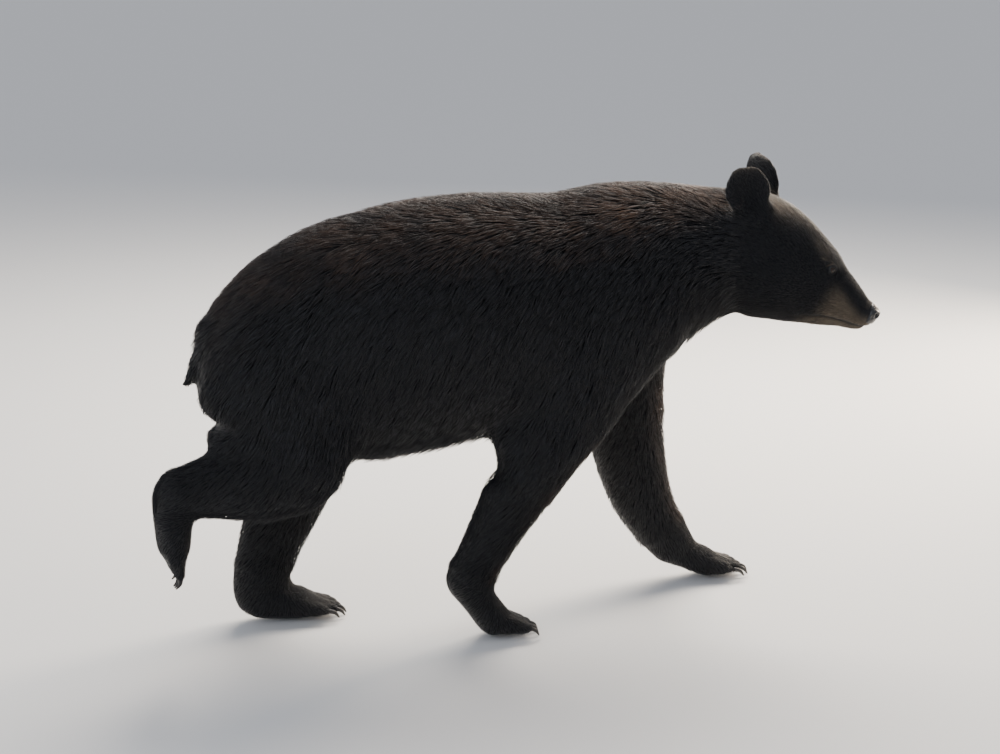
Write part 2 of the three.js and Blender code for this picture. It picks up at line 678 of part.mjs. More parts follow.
function buildLeg(leg) {
  const fore = leg.name.startsWith('fore');
  const points = leg.joints.map(({ at }) => vec(at));
  const curve = new THREE.CatmullRomCurve3(points, false, 'centripetal');
  const elbow = { at: curve.getPoint(leg.elbow), normal: curve.getTangent(leg.elbow).negate() };
  const wrist = { at: curve.getPoint(leg.wrist.share), normal: vec(leg.wrist.normal) };
  const space = legSpace(leg);
  const frame = pawFrame(leg);

  const upper = meshField(bear, zoneAlong(points[0], elbow.at, ROOM.upper), CELL.upper);
  const upperSpace = space.intersect(block(elbow, 1));
  addSolid(`${leg.name}_${fore ? 'arm' : 'thigh'}`, upper.intersect(upperSpace), COAT);

  const lower = meshField(bear, zoneAlong(elbow.at, wrist.at, ROOM.lower), CELL.lower);
  const lowerSpace = space.intersect(block(elbow, -1)).intersect(block(wrist, 1));
  addSolid(`${leg.name}_${fore ? 'forearm' : 'shank'}`, lower.intersect(lowerSpace), COAT);

  const heel = vec(leg.heel.at).addScaledVector(frame.up, ROOM.heel);
  const pawZone = zoneAlong(heel, vec(leg.toe.at), ROOM.paw, frame.left);
  let paw = meshField(bear, pawZone, CELL.paw)
    .intersect(block(wrist, -1))
    .intersect(block(GROUND, 1));
  for (let i = 0; i < TOES; i += 1) {
    const { tip } = toeLine(leg, i);
    addSolid(`${leg.name}_claw_${i + 1}`, claw(tip, frame, 0), HORN);
    paw = paw.subtract(claw(tip, frame, CUT));
  }
  addSolid(`${leg.name}_paw`, paw, COAT);
}

buildHead();
buildTrunk();
LEGS.forEach(buildLeg);

// The origin lies on the floor, under the middle of the whole animal.
const extent = new THREE.Box3().setFromObject(group);
const middle = extent.getCenter(new THREE.Vector3());
group.position.set(-middle.x, -middle.y, -extent.min.z);

export default group;
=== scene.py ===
import heapq
import math

import bmesh
import bpy
import numpy as np
from mathutils import Matrix, Vector
from mathutils.bvhtree import BVHTree
from mathutils.kdtree import KDTree


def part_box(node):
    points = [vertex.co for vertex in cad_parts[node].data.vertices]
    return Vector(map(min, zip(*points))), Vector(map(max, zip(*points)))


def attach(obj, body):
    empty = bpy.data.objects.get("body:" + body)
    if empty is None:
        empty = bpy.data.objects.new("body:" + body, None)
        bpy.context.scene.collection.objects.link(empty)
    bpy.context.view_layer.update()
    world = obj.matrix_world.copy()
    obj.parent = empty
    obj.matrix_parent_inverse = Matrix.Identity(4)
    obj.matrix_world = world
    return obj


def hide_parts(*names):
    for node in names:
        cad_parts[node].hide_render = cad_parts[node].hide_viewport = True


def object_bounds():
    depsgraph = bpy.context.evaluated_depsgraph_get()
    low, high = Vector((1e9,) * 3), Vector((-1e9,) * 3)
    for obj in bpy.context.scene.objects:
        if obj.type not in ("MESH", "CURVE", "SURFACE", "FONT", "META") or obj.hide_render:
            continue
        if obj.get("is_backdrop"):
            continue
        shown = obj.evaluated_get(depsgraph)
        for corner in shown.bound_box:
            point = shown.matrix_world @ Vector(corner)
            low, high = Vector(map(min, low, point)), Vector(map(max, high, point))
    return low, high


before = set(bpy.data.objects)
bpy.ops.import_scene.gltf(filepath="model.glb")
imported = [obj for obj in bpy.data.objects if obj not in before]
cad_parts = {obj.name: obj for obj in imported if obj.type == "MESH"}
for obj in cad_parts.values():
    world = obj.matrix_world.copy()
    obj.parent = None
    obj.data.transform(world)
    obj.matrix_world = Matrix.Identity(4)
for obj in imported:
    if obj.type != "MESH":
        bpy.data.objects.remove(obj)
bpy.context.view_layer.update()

# ---- Camera --------------------------------------------------------------------------------
# A walker's view from across the road: a little above the bear's back, square on to its
# right side and slightly from behind, through a long lens.

LENS = 79.2
EYE_POINT = Vector((-1.1366, -4.045, 1.5997))
SIGHT_LINE = Vector((0.2585, 0.9321, -0.2537))


def placed(name, data):
    """A new object in the scene."""
    made = bpy.data.objects.new(name, data)
    bpy.context.scene.collection.objects.link(made)
    return made


camera = placed("camera", bpy.data.cameras.new("camera"))
camera.data.lens = LENS
camera.data.clip_end = 60
camera.location = EYE_POINT
camera.rotation_euler = SIGHT_LINE.to_track_quat("-Z", "Y").to_euler()
bpy.context.scene.camera = camera

# ---- Skin: the bare form --------------------------------------------------------------------
# One hide covers the whole animal, from the nose pad to the soles. It is the frame's flesh
# run together and softened, then drawn in by the depth of the coat that grows on it.

VOXEL = 0.0075
# For each kind of flesh: how far apart two points soften each other, and the coat's depth.
FLESH = {
    "trunk": (0.046, 0.016),
    "neck": (0.030, 0.014),
    "head": (0.011, 0.004),
    "eye": (0.006, 0.002),
    "ear": (0.007, 0.0020),
    "nose": (0.008, 0.0010),
    "tail": (0.007, 0.004),
    "arm": (0.024, 0.011),
    "thigh": (0.027, 0.014),
    "forearm": (0.018, 0.008),
    "shank": (0.018, 0.008),
    "paw": (0.0070, 0.0030),
}
FORM_VOXEL = 0.004
FORM_EAR_ROUNDS = 160
SOFTEN = 0.5  # share of the way to its neighbours' mean that a point moves in one round


def flesh_kind(node):
    return next(kind for kind in FLESH if kind in node.split("_"))


def read(items, name, width, kind=float):
    """A mesh's own numbers, in rows of a given width."""
    values = np.empty(width * len(items), kind)
    items.foreach_get(name, values)
    return values.reshape(-1, width)


def read_points(mesh):
    return read(mesh.vertices, "co", 3)


def read_normals(mesh):
    return read(mesh.vertex_normals, "vector", 3)


def write_points(mesh, points):
    mesh.vertices.foreach_set("co", np.asarray(points, np.float32).ravel())
    mesh.update()


class Net:
    """A mesh's points and the edges that join them, for spreading values over its surface."""

    def __init__(self, mesh):
        edges = read(mesh.edges, "vertices", 2, np.int32)
        self.count = len(mesh.vertices)
        self.start = np.concatenate([edges[:, 0], edges[:, 1]])
        self.end = np.concatenate([edges[:, 1], edges[:, 0]])
        self.degree = np.maximum(np.bincount(self.start, minlength=self.count), 1)

    def total(self, values):
        """The sum, at each point, of a value on every edge that leaves it."""
        if values.ndim == 1:
            return np.bincount(self.start, values, self.count)
        return np.stack([np.bincount(self.start, column, self.count) for column in values.T], 1)

    def mean(self, values):
        degree = self.degree if values.ndim == 1 else self.degree[:, None]
        return self.total(values[self.end]) / degree

    def spread(self, values, rounds):
        for _ in range(rounds):
            values = values + SOFTEN * (self.mean(values) - values)
        return values

    def soften(self, points, rounds):
        """Softens points, each for its own number of rounds."""
        for turn in range(math.ceil(rounds.max())):
            share = SOFTEN * np.clip(rounds - turn, 0, 1)[:, None]
            points = points + share * (self.mean(points) - points)
        return points

    def even_out(self, points, share, rounds):
        """Takes the lumps out of a thin form without making it smaller."""
        for _ in range(rounds):
            for step in (SOFTEN, -1.06 * SOFTEN):
                points = points + step * share[:, None] * (self.mean(points) - points)
        return points


def joined_mesh(name, nodes):
    """One mesh of several frame nodes, and for each of its faces the node that it came from."""
    points, faces, owners = [], [], []
    for number, node in enumerate(nodes):
        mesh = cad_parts[node].data
        first = sum(len(part) for part in points)
        points.append(read_points(mesh))
        for polygon in mesh.polygons:
            faces.append([first + corner for corner in polygon.vertices])
            owners.append(number)
    mesh = bpy.data.meshes.new(name)
    mesh.from_pydata(np.concatenate(points).tolist(), [], faces)
    mesh.validate()
    return mesh, faces, owners


def remeshed(mesh, voxel):
    """A copy of a closed mesh, rebuilt from even square faces."""
    carrier = placed("remesh", mesh)
    modifier = carrier.modifiers.new("remesh", "REMESH")
    modifier.mode = "VOXEL"
    modifier.voxel_size = voxel
    made = bpy.data.meshes.new_from_object(carrier.evaluated_get(bpy.context.evaluated_depsgraph_get()))
    bpy.data.objects.remove(carrier)
    return made


def steps(low, high, values):
    """A smooth step from 0 at low to 1 at high."""
    share = np.clip((values - low) / (high - low), 0, 1)
    return share * share * (3 - 2 * share)


def hump(values, half):
    """A smooth hump, 1 high at 0."""
    return np.exp(-((values / half) ** 2))


def unit(vectors):
    return vectors / np.maximum(np.linalg.norm(vectors, axis=-1, keepdims=True), 1e-9)


flesh_nodes = sorted(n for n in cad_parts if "claw" not in n)
raw_mesh, raw_faces, raw_owners = joined_mesh("flesh", flesh_nodes)
raw_tree = BVHTree.FromPolygons(read_points(raw_mesh).tolist(), raw_faces)


def nodes_near(points):
    """The frame's node that each point lies nearest to, as a number in flesh_nodes."""
    return np.array([raw_owners[raw_tree.find_nearest(p)[2]] for p in points.tolist()])


def kinds_near(points):
    return np.array([flesh_kind(node) for node in flesh_nodes])[nodes_near(points)]


skin_mesh = remeshed(raw_mesh, VOXEL)
skin_mesh.name = "skin"

# The true outer form, to measure the skin's depth from.
form_mesh = remeshed(raw_mesh, FORM_VOXEL)
form_net = Net(form_mesh)
form_points = form_net.even_out(read_points(form_mesh), np.ones(form_net.count), 6)
form_owners = nodes_near(form_points)
ear_numbers = [number for number, node in enumerate(flesh_nodes) if "ear" in node.split("_")]
form_ears = form_net.spread(np.isin(form_owners, ear_numbers).astype(float), 4)
form_points = form_net.even_out(form_points, form_ears, FORM_EAR_ROUNDS)
form_points = form_net.soften(form_points, 6 * form_ears)
form_faces = [tuple(p.vertices) for p in form_mesh.polygons]
form_tree = BVHTree.FromPolygons(form_points.tolist(), form_faces)


def flesh_height(points):
    """How far each point stands out of the true outer form."""
    heights = np.empty(len(points))
    for i, point in enumerate(points.tolist()):
        place, normal, _, gap = form_tree.find_nearest(point)
        heights[i] = math.copysign(gap, (Vector(point) - place).dot(normal))
    return heights


net = Net(skin_mesh)
points = read_points(skin_mesh)
settings = np.array([FLESH[flesh_kind(node)] for node in flesh_nodes])[nodes_near(points)]
settings = net.spread(settings, 14)
points = net.soften(points, (settings[:, 0] / VOXEL) ** 2 / SOFTEN)
write_points(skin_mesh, points)
points = points - read_normals(skin_mesh) * settings[:, 1:2]
for _ in range(2):
    write_points(skin_mesh, points)
    gap = net.spread(flesh_height(points) + settings[:, 1], 12)
    points = points - read_normals(skin_mesh) * gap[:, None]
points = net.soften(points, np.full(net.count, 2.0))
write_points(skin_mesh, points)

# ---- Skin: the head and the paws -------------------------------------------------------------
# The same hide where it is thin and tells most: lids drawn over the eyes, brows, the line of
# the mouth with its hanging upper lip, and toes. Its mesh is made finer there.

# The face's own axes: x along the muzzle, y to the bear's left, z up through the forehead.
FACE_TURN = math.radians(-31)
FACE_BOW = math.radians(30)
EYES_IN_FACE = Vector((0.166, 0, -0.020))
FINE_HEAD_FROM = 0.0
FINE_MUZZLE_FROM = 0.195
FINE_EYE_REACH = 0.034
LID_REACH = 0.019
EAR_ROUNDS = 60
EAR = {"x": -0.025, "y": 0.091, "z": 0.044, "face": math.radians(45), "lean": math.radians(12),
       "half": 0.054, "high": 0.060}
EAR_BOWL = {"z": 0.006, "half": 0.043, "high": 0.046, "deep": 0.006}
EAR_BINS = 40
EAR_RIM = 1.03
EAR_HEEL = 0.30
EAR_THICK = 0.05
EAR_REACH = 1.4
EAR_STRETCH = (0.85, 1.25)
MOST_MOVE = 0.006

eye_centres = {side: sum(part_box(f"eye_{side}"), Vector()) / 2 for side in ("left", "right")}
EYE_SUNK = 0.0042
GAZE = Vector((0.62, 0.755, 0.21)).normalized()
face_turned = Matrix.Rotation(FACE_TURN, 4, "Z") @ Matrix.Rotation(FACE_BOW, 4, "Y")
face_place = (
    Matrix.Translation((eye_centres["left"] + eye_centres["right"]) / 2)
    @ face_turned
    @ Matrix.Translation(-EYES_IN_FACE)
)
for side, name in ((1, "left"), (-1, "right")):
    eye_centres[name] -= face_place.to_3x3() @ Vector((GAZE.x, side * GAZE.y, GAZE.z)) * EYE_SUNK
face_axes = np.array(face_place.to_3x3())
face_origin = np.array(face_place.translation)


def to_face(points):
    return (points - face_origin) @ face_axes


def from_face(points):
    return points @ face_axes.T + face_origin


def refine(mesh, chosen):
    """Cuts each face that has a chosen point into four."""
    work = bmesh.new()
    work.from_mesh(mesh)
    work.verts.ensure_lookup_table()
    wanted = {work.verts[i] for i in np.flatnonzero(chosen)}
    faces = [f for f in work.faces if any(v in wanted for v in f.verts)]
    edges = list({e for f in faces for e in f.edges})
    bmesh.ops.subdivide_edges(work, edges=edges, cuts=1, use_grid_fill=True)
    work.to_mesh(mesh)
    work.free()


points = read_points(skin_mesh)
in_face = to_face(points)
in_head = (in_face[:, 0] > FINE_HEAD_FROM) & (in_face[:, 2] > -0.26) & (points[:, 2] > 0.5)
refine(skin_mesh, in_head | (kinds_near(points) == "paw"))
net = Net(skin_mesh)
points = read_points(skin_mesh)
in_face = to_face(points)
in_head = (in_face[:, 0] > FINE_HEAD_FROM) & (points[:, 2] > 0.5)
points = net.soften(points, np.where(in_head, 4.0, 2.0))
write_points(skin_mesh, points)


def near_eyes(points, reach):
    centres = [np.array(centre) for centre in eye_centres.values()]
    return np.min([np.linalg.norm(points - centre, axis=1) for centre in centres], axis=0) < reach


def on_muzzle(points):
    return (to_face(points)[:, 0] > FINE_MUZZLE_FROM) & (points[:, 2] > 0.5)


refine(skin_mesh, on_muzzle(points) | near_eyes(points, FINE_EYE_REACH))
refine(skin_mesh, near_eyes(read_points(skin_mesh), LID_REACH))
net = Net(skin_mesh)
points = read_points(skin_mesh)
fine = on_muzzle(points) | near_eyes(points, FINE_EYE_REACH)
points = net.soften(points, np.where(fine, 3.0, 0.0) + np.where(near_eyes(points, LID_REACH), 6.0, 0.0))
kinds = kinds_near(points)


def share_of(wanted, rounds):
    """How far each point belongs to some kinds of flesh, spread among its neighbours."""
    return net.spread(np.isin(kinds, wanted).astype(float), rounds)


def settled(points, share, height, depth):
    """Points moved along their normals, each by its share, to a depth under some form."""
    write_points(skin_mesh, points)
    chosen = np.flatnonzero(share > 0.02)
    moves = np.clip(height(points[chosen]) + depth[chosen], -MOST_MOVE, MOST_MOVE) * share[chosen]
    points = points.copy()
    points[chosen] -= read_normals(skin_mesh)[chosen] * moves[:, None]
    return points


depth = net.spread(np.array([FLESH[kind][1] for kind in kinds]), 24)
ears = share_of("ear", 3)
for rounds in (10, 20, EAR_ROUNDS):
    points = settled(points, ears, flesh_height, depth)
    points = net.even_out(points, ears, rounds)
points = net.soften(points, 4 * ears)
# Each ear's rim is a clean round: an upright oval, turned outwards and leant back.
for side in (1, -1):
    ear_place = (
        Matrix.Translation(face_place.translation)
        @ Matrix.Rotation(FACE_TURN, 4, "Z")
        @ Matrix.Translation((EAR["x"], side * EAR["y"], EAR["z"]))
        @ Matrix.Rotation(side * EAR["face"], 4, "Z")
        @ Matrix.Rotation(-EAR["lean"], 4, "Y")
    )
    ear_axes, ear_centre = np.array(ear_place.to_3x3()), np.array(ear_place.translation)
    local = (points - ear_centre) @ ear_axes
    wide, tall = local[:, 1] / EAR["half"], local[:, 2] / EAR["high"]
    in_ear = ears * (np.abs(local[:, 0]) < EAR_THICK) * (np.hypot(wide, tall) < EAR_REACH)
    angle = np.arctan2(tall, wide)
    bins = np.linspace(-math.pi, math.pi, EAR_BINS + 1)
    which = np.clip(np.digitize(angle, bins) - 1, 0, EAR_BINS - 1)
    rim = np.full(EAR_BINS, 0.5)
    np.maximum.at(rim, which[in_ear > 0.5], np.hypot(wide, tall)[in_ear > 0.5])
    to_rim = np.interp(angle, (bins[1:] + bins[:-1]) / 2, rim)
    stretch = 1 + (EAR_RIM / to_rim - 1) * in_ear * steps(-0.35, 0.15, tall)
    local[:, 1:] *= np.clip(stretch, *EAR_STRETCH)[:, None]
    # The turned head leaves the left ear clear of the neck: its lower outer edge tapers in.
    if side > 0:
        low = in_ear * (1 - steps(-0.40, 0.20, tall))
        local[:, 1] *= 1 - 0.75 * low * (1 - EAR_HEEL / np.maximum(wide, EAR_HEEL))
    # Its front is hollow.
    write_points(skin_mesh, local @ ear_axes.T + ear_centre)
    ahead = steps(0.1, 0.7, (read_normals(skin_mesh) @ ear_axes)[:, 0])
    up_bowl = (local[:, 2] - EAR_BOWL["z"]) / EAR_BOWL["high"]
    from_middle = np.hypot(local[:, 1] / EAR_BOWL["half"], up_bowl)
    bowl = 1 - steps(0.25, 1.0, from_middle)
    local[:, 0] -= EAR_BOWL["deep"] * bowl * ahead * in_ear
    points = local @ ear_axes.T + ear_centre
points = net.soften(points, 2 * ears)
head = steps(0.02, 0.08, to_face(points)[:, 0]) * np.isin(kinds, ("head", "eye", "nose"))
for _ in range(3):
    points = settled(points, head, flesh_height, depth)
    points = net.soften(points, 2.5 * head)

# Toes: a short roll runs back into the paw from the root of each claw.
TOE_LONG = 0.030
TOE_HALF = 0.0098
TOE_BLEND = 0.006


def claw_line(node):
    """Centres of a claw's rings from its root to its point, and the half width of each."""
    corners = np.unique(read_points(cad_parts[node].data).round(5), axis=0)
    middle = corners.mean(0)
    along = (corners - middle) @ np.linalg.svd(corners - middle)[2][0]
    if np.sum(along < along.min() + 0.002) < 3:
        along = -along
    order = np.argsort(along)
    rings = [corners[order[i:i + 5]] for i in range(0, len(order), 5)]
    centres = [ring.mean(0) for ring in rings]
    halves = [np.linalg.norm(ring - centre, axis=1).mean() for ring, centre in zip(rings, centres)]
    return np.array(centres), np.array(halves)


claw_nodes = sorted(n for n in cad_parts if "_claw_" in n)
claw_lines = {node: claw_line(node) for node in claw_nodes}


def paw_height(points):
    """How far each point stands out of the paw's own form, its toes rolled into it."""
    heights = flesh_height(points)
    for centres, _ in claw_lines.values():
        ahead = unit(centres[1] - centres[0])
        level = unit(ahead * (1, 1, 0.25))
        front = centres[0] + 0.001 * ahead
        along = np.clip((points - front) @ level, -TOE_LONG, 0)
        gap = np.linalg.norm(points - front - along[:, None] * level, axis=1)
        roll = gap - TOE_HALF * (1 + 0.25 * along / TOE_LONG)
        share = np.clip(0.5 + 0.5 * (heights - roll) / TOE_BLEND, 0, 1)
        heights = heights + (roll - heights) * share - TOE_BLEND * share * (1 - share)
    return heights


paws = steps(0.0, 0.8, share_of("paw", 40) - 0.2)
for _ in range(4):
    points = settled(points, paws, paw_height, depth)
    points = net.soften(points, 0.8 * paws)
points[paws > 0.1, 2] = np.maximum(points[paws > 0.1, 2], 0.0010)

# Eyelids: a smooth rim drawn over the ball, open in the shape of an almond.
BALL = 0.0112
LID_LONG = 0.0090
LID_TALL = 0.0054
LID_THICK = 0.0016
SOCKET = 0.030
RIM_BAND = 0.24
EYE_ROUND = (
    (0.002, 0.018, 0.0032, 0.012),
    (-0.016, 0.006, 0.0024, 0.011),
    (-0.013, -0.012, 0.0020, 0.012),
    (0.004, -0.020, 0.0016, 0.011),
    (0.021, -0.002, -0.0022, 0.010),
)
SLIT = Vector((0.74, -0.50, -0.34))


def eye_axes(side):
    """Columns along the slit towards the nose, up across the lids, and out along the gaze."""
    gaze = Vector((GAZE.x, side * GAZE.y, GAZE.z))
    slit = Vector((SLIT.x, side * SLIT.y, SLIT.z))
    slit = (slit - gaze * slit.dot(gaze)).normalized()
    up = gaze.cross(slit)
    return np.array([slit, up if up.z > 0 else -up, gaze]).T


for side, name in ((1, "left"), (-1, "right")):
    centre = to_face(np.array(eye_centres[name])[None])[0]
    away = np.linalg.norm(to_face(points) - centre, axis=1)
    points = net.soften(points, 26 * (1 - steps(0.016, SOCKET, away)) * fine)
    axes = eye_axes(side)
    local = (to_face(points) - centre) @ axes
    away = np.linalg.norm(local, axis=1)
    outward = local[:, 2] > 0
    along, up = local[:, 0] / LID_LONG, local[:, 1] / LID_TALL
    # Points about the rim are moved onto it, so that its edge is a clean curve.
    almond = np.abs(up) + along**2
    onto = (np.sqrt(up**2 + 4 * along**2) - np.abs(up)) / np.maximum(2 * along**2, 1e-9)
    at_rim = (np.abs(almond - 1) < RIM_BAND) & outward & (away < 0.016)
    local[at_rim, :2] *= onto[at_rim, None]
    away = np.linalg.norm(local, axis=1)
    almond = np.where(at_rim, 1.0, almond)
    over_lid = BALL + LID_THICK * (0.45 + 0.55 * steps(1, 1.9, almond))
    radius = np.where(almond < 1, BALL - 0.0035, over_lid)
    radius = radius - 0.0011 * hump(almond - 2.5, 0.35) * (up > 0)
    drawn = (1 - steps(2.2, 4.6, almond)) * (1 - steps(0.016, 0.024, away)) * outward
    reached = local / away[:, None] * radius[:, None]
    local = local + (reached - local) * drawn[:, None]
    # The brow and the outer edge of the socket stand out round the eye; the side of the muzzle
    # falls away in front of it.
    for at_along, at_up, rise, reach in EYE_ROUND:
        gap = np.hypot(local[:, 0] - at_along, local[:, 1] - at_up)
        local[:, 2] += rise * hump(gap, reach) * (away < 0.045) * outward
    moved = from_face(local @ axes.T + centre)
    points = np.where((away < 0.045)[:, None], moved, points)

# Between the lids and the face the skin runs smoothly.
ring = near_eyes(points, 0.050) & ~near_eyes(points, 0.0165)
points = net.soften(points, 5 * net.spread(ring.astype(float), 2))

# The rim of the nose pad: its place along the muzzle, and how much further on it lies at the sides.
PAD_RIM = 0.267
PAD_BOW = 0.006

# The mouth: a line from under the nose back to below the eye, with the upper lip over it.
MOUTH = (
    (0.285, -0.087), (0.262, -0.0915), (0.232, -0.098),
    (0.205, -0.1065), (0.180, -0.118), (0.160, -0.130),
)
MOUTH_DEEP = 0.0034
MOUTH_HALF = 0.0019

write_points(skin_mesh, points)
normals = read_normals(skin_mesh)
in_face = to_face(points)
mouth_x, mouth_z = np.array(MOUTH[::-1]).T
below = np.interp(in_face[:, 0], mouth_x, mouth_z) - in_face[:, 2]
in_mouth = steps(0.156, 0.172, in_face[:, 0]) * fine
groove = -MOUTH_DEEP * hump(below, MOUTH_HALF)
upper_lip = 0.0013 * hump(below + 0.0055, 0.0035)
lower_lip = -0.0012 * hump(below - 0.004, 0.003)
points = points + normals * (in_mouth * (groove + upper_lip + lower_lip))[:, None]
# The groove that runs from the nose down to the lip, and the dips beside the bridge.
split = hump(in_face[:, 1], 0.0016) * steps(0.272, 0.280, in_face[:, 0]) * (below < 0.001) * fine
points = points - normals * (0.0022 * split)[:, None]
# Under the nose pad the skin draws in.
pad_rim = PAD_RIM + PAD_BOW * (in_face[:, 1] / 0.022) ** 2
under_pad = steps(pad_rim + 0.002, pad_rim + 0.010, in_face[:, 0]) * fine
under_pad = under_pad * steps(-0.074, -0.068, in_face[:, 2])
points = points - normals * (0.0050 * under_pad)[:, None]
points = points - face_axes[:, 0] * (0.013 * under_pad * steps(0.272, 0.282, in_face[:, 0]))[:, None]
write_points(skin_mesh, points)

skin_mesh.shade_smooth()
skin = placed("skin", skin_mesh)
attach(skin, "root")
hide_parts(*[n for n in flesh_nodes if not n.startswith("eye") and n != "nose"])

# The skin laid out flat, in patches cut where it turns.
bpy.context.view_layer.objects.active = skin
skin.select_set(True)
skin_mesh.uv_layers.new(name="OFBake")
bpy.ops.object.mode_set(mode="EDIT")
bpy.ops.mesh.select_all(action="SELECT")
bpy.ops.uv.smart_project(angle_limit=math.radians(66), island_margin=0.0015)
bpy.ops.object.mode_set(mode="OBJECT")
skin.select_set(False)

# ---- Skin: lie of the hair, markings and painted light -------------------------------------------
# All hair lies away from the nose: back over the head and neck, down the shoulders, ribs and
# thighs, and down the legs. The coat is black with a tan muzzle; the brown on its tips along the
# back and on the fronts of the forelegs, and the pale rim on the crown, are painted backlight.

points = read_points(skin_mesh)
normals = read_normals(skin_mesh)
in_face = to_face(points)
kinds = kinds_near(points)

# For each kind of flesh: hair length, half the width of a tuft, tufts to a square metre, and
# how much the hair hangs towards the ground.
HAIR = {
    "trunk": (0.056, 0.00104, 56000, 1.25),
    "neck": (0.050, 0.00098, 62000, 0.65),
    "head": (0.026, 0.00056, 190000, 0.05),
    "eye": (0.008, 0.00042, 330000, 0.0),
    "ear": (0.011, 0.00052, 170000, 0.0),
    "nose": (0.007, 0.00040, 330000, 0.0),
    "tail": (0.050, 0.00104, 80000, 0.3),
    "arm": (0.042, 0.00094, 66000, 0.8),
    "thigh": (0.042, 0.00094, 66000, 0.9),
    "forearm": (0.026, 0.00082, 90000, 0.3),
    "shank": (0.026, 0.00082, 90000, 0.3),
    "paw": (0.012, 0.00060, 140000, 0.1),
}
hair = net.spread(np.array([HAIR[kind] for kind in kinds]), 40)
depth = net.spread(np.array([FLESH[kind][1] for kind in kinds]), 24)
length, half_width, density, droop = hair.T


def distances(net, points, first):
    """Distance over the surface from some first points."""
    long = np.linalg.norm(points[net.end] - points[net.start], axis=1)
    order = np.argsort(net.start, kind="stable")
    ends, longs = net.end[order].tolist(), long[order].tolist()
    starts = np.searchsorted(net.start[order], np.arange(net.count + 1)).tolist()
    far = [math.inf] * net.count
    for point in first:
        far[point] = 0.0
    queue = [(0.0, point) for point in first]
    while queue:
        reached, point = heapq.heappop(queue)
        if reached > far[point]:
            continue
        for i in range(starts[point], starts[point + 1]):
            on = reached + longs[i]
            if on < far[ends[i]]:
                far[ends[i]] = on
                heapq.heappush(queue, (on, ends[i]))
    return np.array(far)


def along_surface(vectors, normals):
    """Vectors laid flat on the surface, each of length one."""
    flat = vectors - normals * (vectors * normals).sum(1)[:, None]
    return unit(flat)


nose_tip = np.argsort(np.linalg.norm(in_face - (0.290, 0, -0.054), axis=1))[:12].tolist()
far = distances(net, points, nose_tip)
far[~np.isfinite(far)] = 1.0
edge = points[net.end] - points[net.start]
rise = (far[net.end] - far[net.start]) / (edge**2).sum(1)
flow = along_surface(net.total(edge * rise[:, None]), normals)
for _ in range(10):
    flow = along_surface(net.mean(flow), normals)
down = np.array([0, 0, -1.0])
flat_down = down - normals * (normals @ down)[:, None]
flow = along_surface(flow + flat_down * droop[:, None], normals)
for _ in range(16):
    flow = along_surface(net.mean(flow), normals)

# On the face the hair is short at the nose and grows longer towards the cheeks and crown.
on_head = share_of(("head", "eye", "nose", "ear"), 6)
face_length = 0.0040 + 0.060 * np.maximum(far - 0.02, 0)
near_nose = on_head * (1 - steps(0.09, 0.20, far))
density = density * (1 + 1.1 * near_nose)
half_width = half_width * (1 - 0.38 * near_nose)
headed = steps(0.1, 0.9, net.spread(on_head, 70))
length = length + (np.minimum(length, face_length) - length) * headed
# A fringe hangs behind the forearms, under the belly and under the throat.
backs = np.clip(-normals[:, 0], 0, 1) * share_of(("forearm", "arm"), 8)
bellies = steps(0.25, 0.85, -normals[:, 2]) * share_of(("trunk", "neck", "thigh"), 8)
hang = np.maximum(0.6 * backs, bellies)
length = length * (1 + 0.35 * backs)

# Bare places: lids, lips, the rim of the nose pad and the soles.
below = np.interp(in_face[:, 0], mouth_x, mouth_z) - in_face[:, 2]
lips = hump(below - 0.0003, 0.0027) * steps(0.160, 0.180, in_face[:, 0]) * on_head
rim_bare = steps(pad_rim + 0.0005, pad_rim + 0.0035, in_face[:, 0]) * steps(-0.079, -0.074, in_face[:, 2])
bare = np.maximum(lips, rim_bare * on_head)
for name, side in (("left", 1), ("right", -1)):
    local = (in_face - to_face(np.array(eye_centres[name])[None])[0]) @ eye_axes(side)
    around_eye = np.hypot(local[:, 0] / 0.0112, local[:, 1] / 0.0074)
    in_front = (local[:, 2] > -0.004) & (local[:, 2] < 0.03)
    bare = np.maximum(bare, (1 - steps(0.85, 1.15, around_eye)) * in_front)
soles = (kinds == "paw") & (normals[:, 2] < -0.55) & (points[:, 2] < 0.02)
bare = np.maximum(bare, net.spread(soles.astype(float), 2))

# Painted backlight: brown tips where the back faces the sky, most on the withers and nape, and on
# the fronts of the forelegs; a painted rim light of pale tan on the crown. Markings: tan on the
# sides of the muzzle and the chin.
# Painted backlight: brown on the hair tips wherever the back faces up.
sky = steps(0.42, 0.97, normals[:, 2])
along_back = np.interp(
    points[:, 0], (-0.62, -0.30, 0.05, 0.25, 0.42, 0.55), (0.40, 0.50, 0.60, 1.0, 1.0, 0.8)
)
on_legs = share_of(("forearm", "shank", "paw"), 12)
warm = sky * along_back * (1 - on_legs) * steps(0.45, 0.62, points[:, 2])
warm *= 1 - 0.6 * on_head
# Painted sunlight: brown on the fronts of the forelegs, low down, where they face forward.
shins = share_of(("forearm", "arm"), 12) * steps(0.2, 0.9, normals[:, 0])
warm = np.maximum(warm, 0.5 * shins * (1 - steps(0.40, 0.55, points[:, 2])))
# Painted rim light: pale tan on the top of the head, where it faces up, most towards the crown.
crown = on_head * steps(0.50, 0.90, normals[:, 2])
crown = crown * np.interp(in_face[:, 0], (0.12, 0.19, 0.26), (1.0, 0.6, 0.3))
bridge = np.interp(
    in_face[:, 0], (0.138, 0.168, 0.202, 0.236, 0.260), (0.007, -0.007, -0.017, -0.031, -0.041)
)
drop = bridge - in_face[:, 2]
muzzle_side = steps(0.175, 0.220, in_face[:, 0]) * steps(0.016, 0.044, drop)
chin = steps(0.150, 0.200, in_face[:, 0]) * steps(-0.002, 0.004, below)
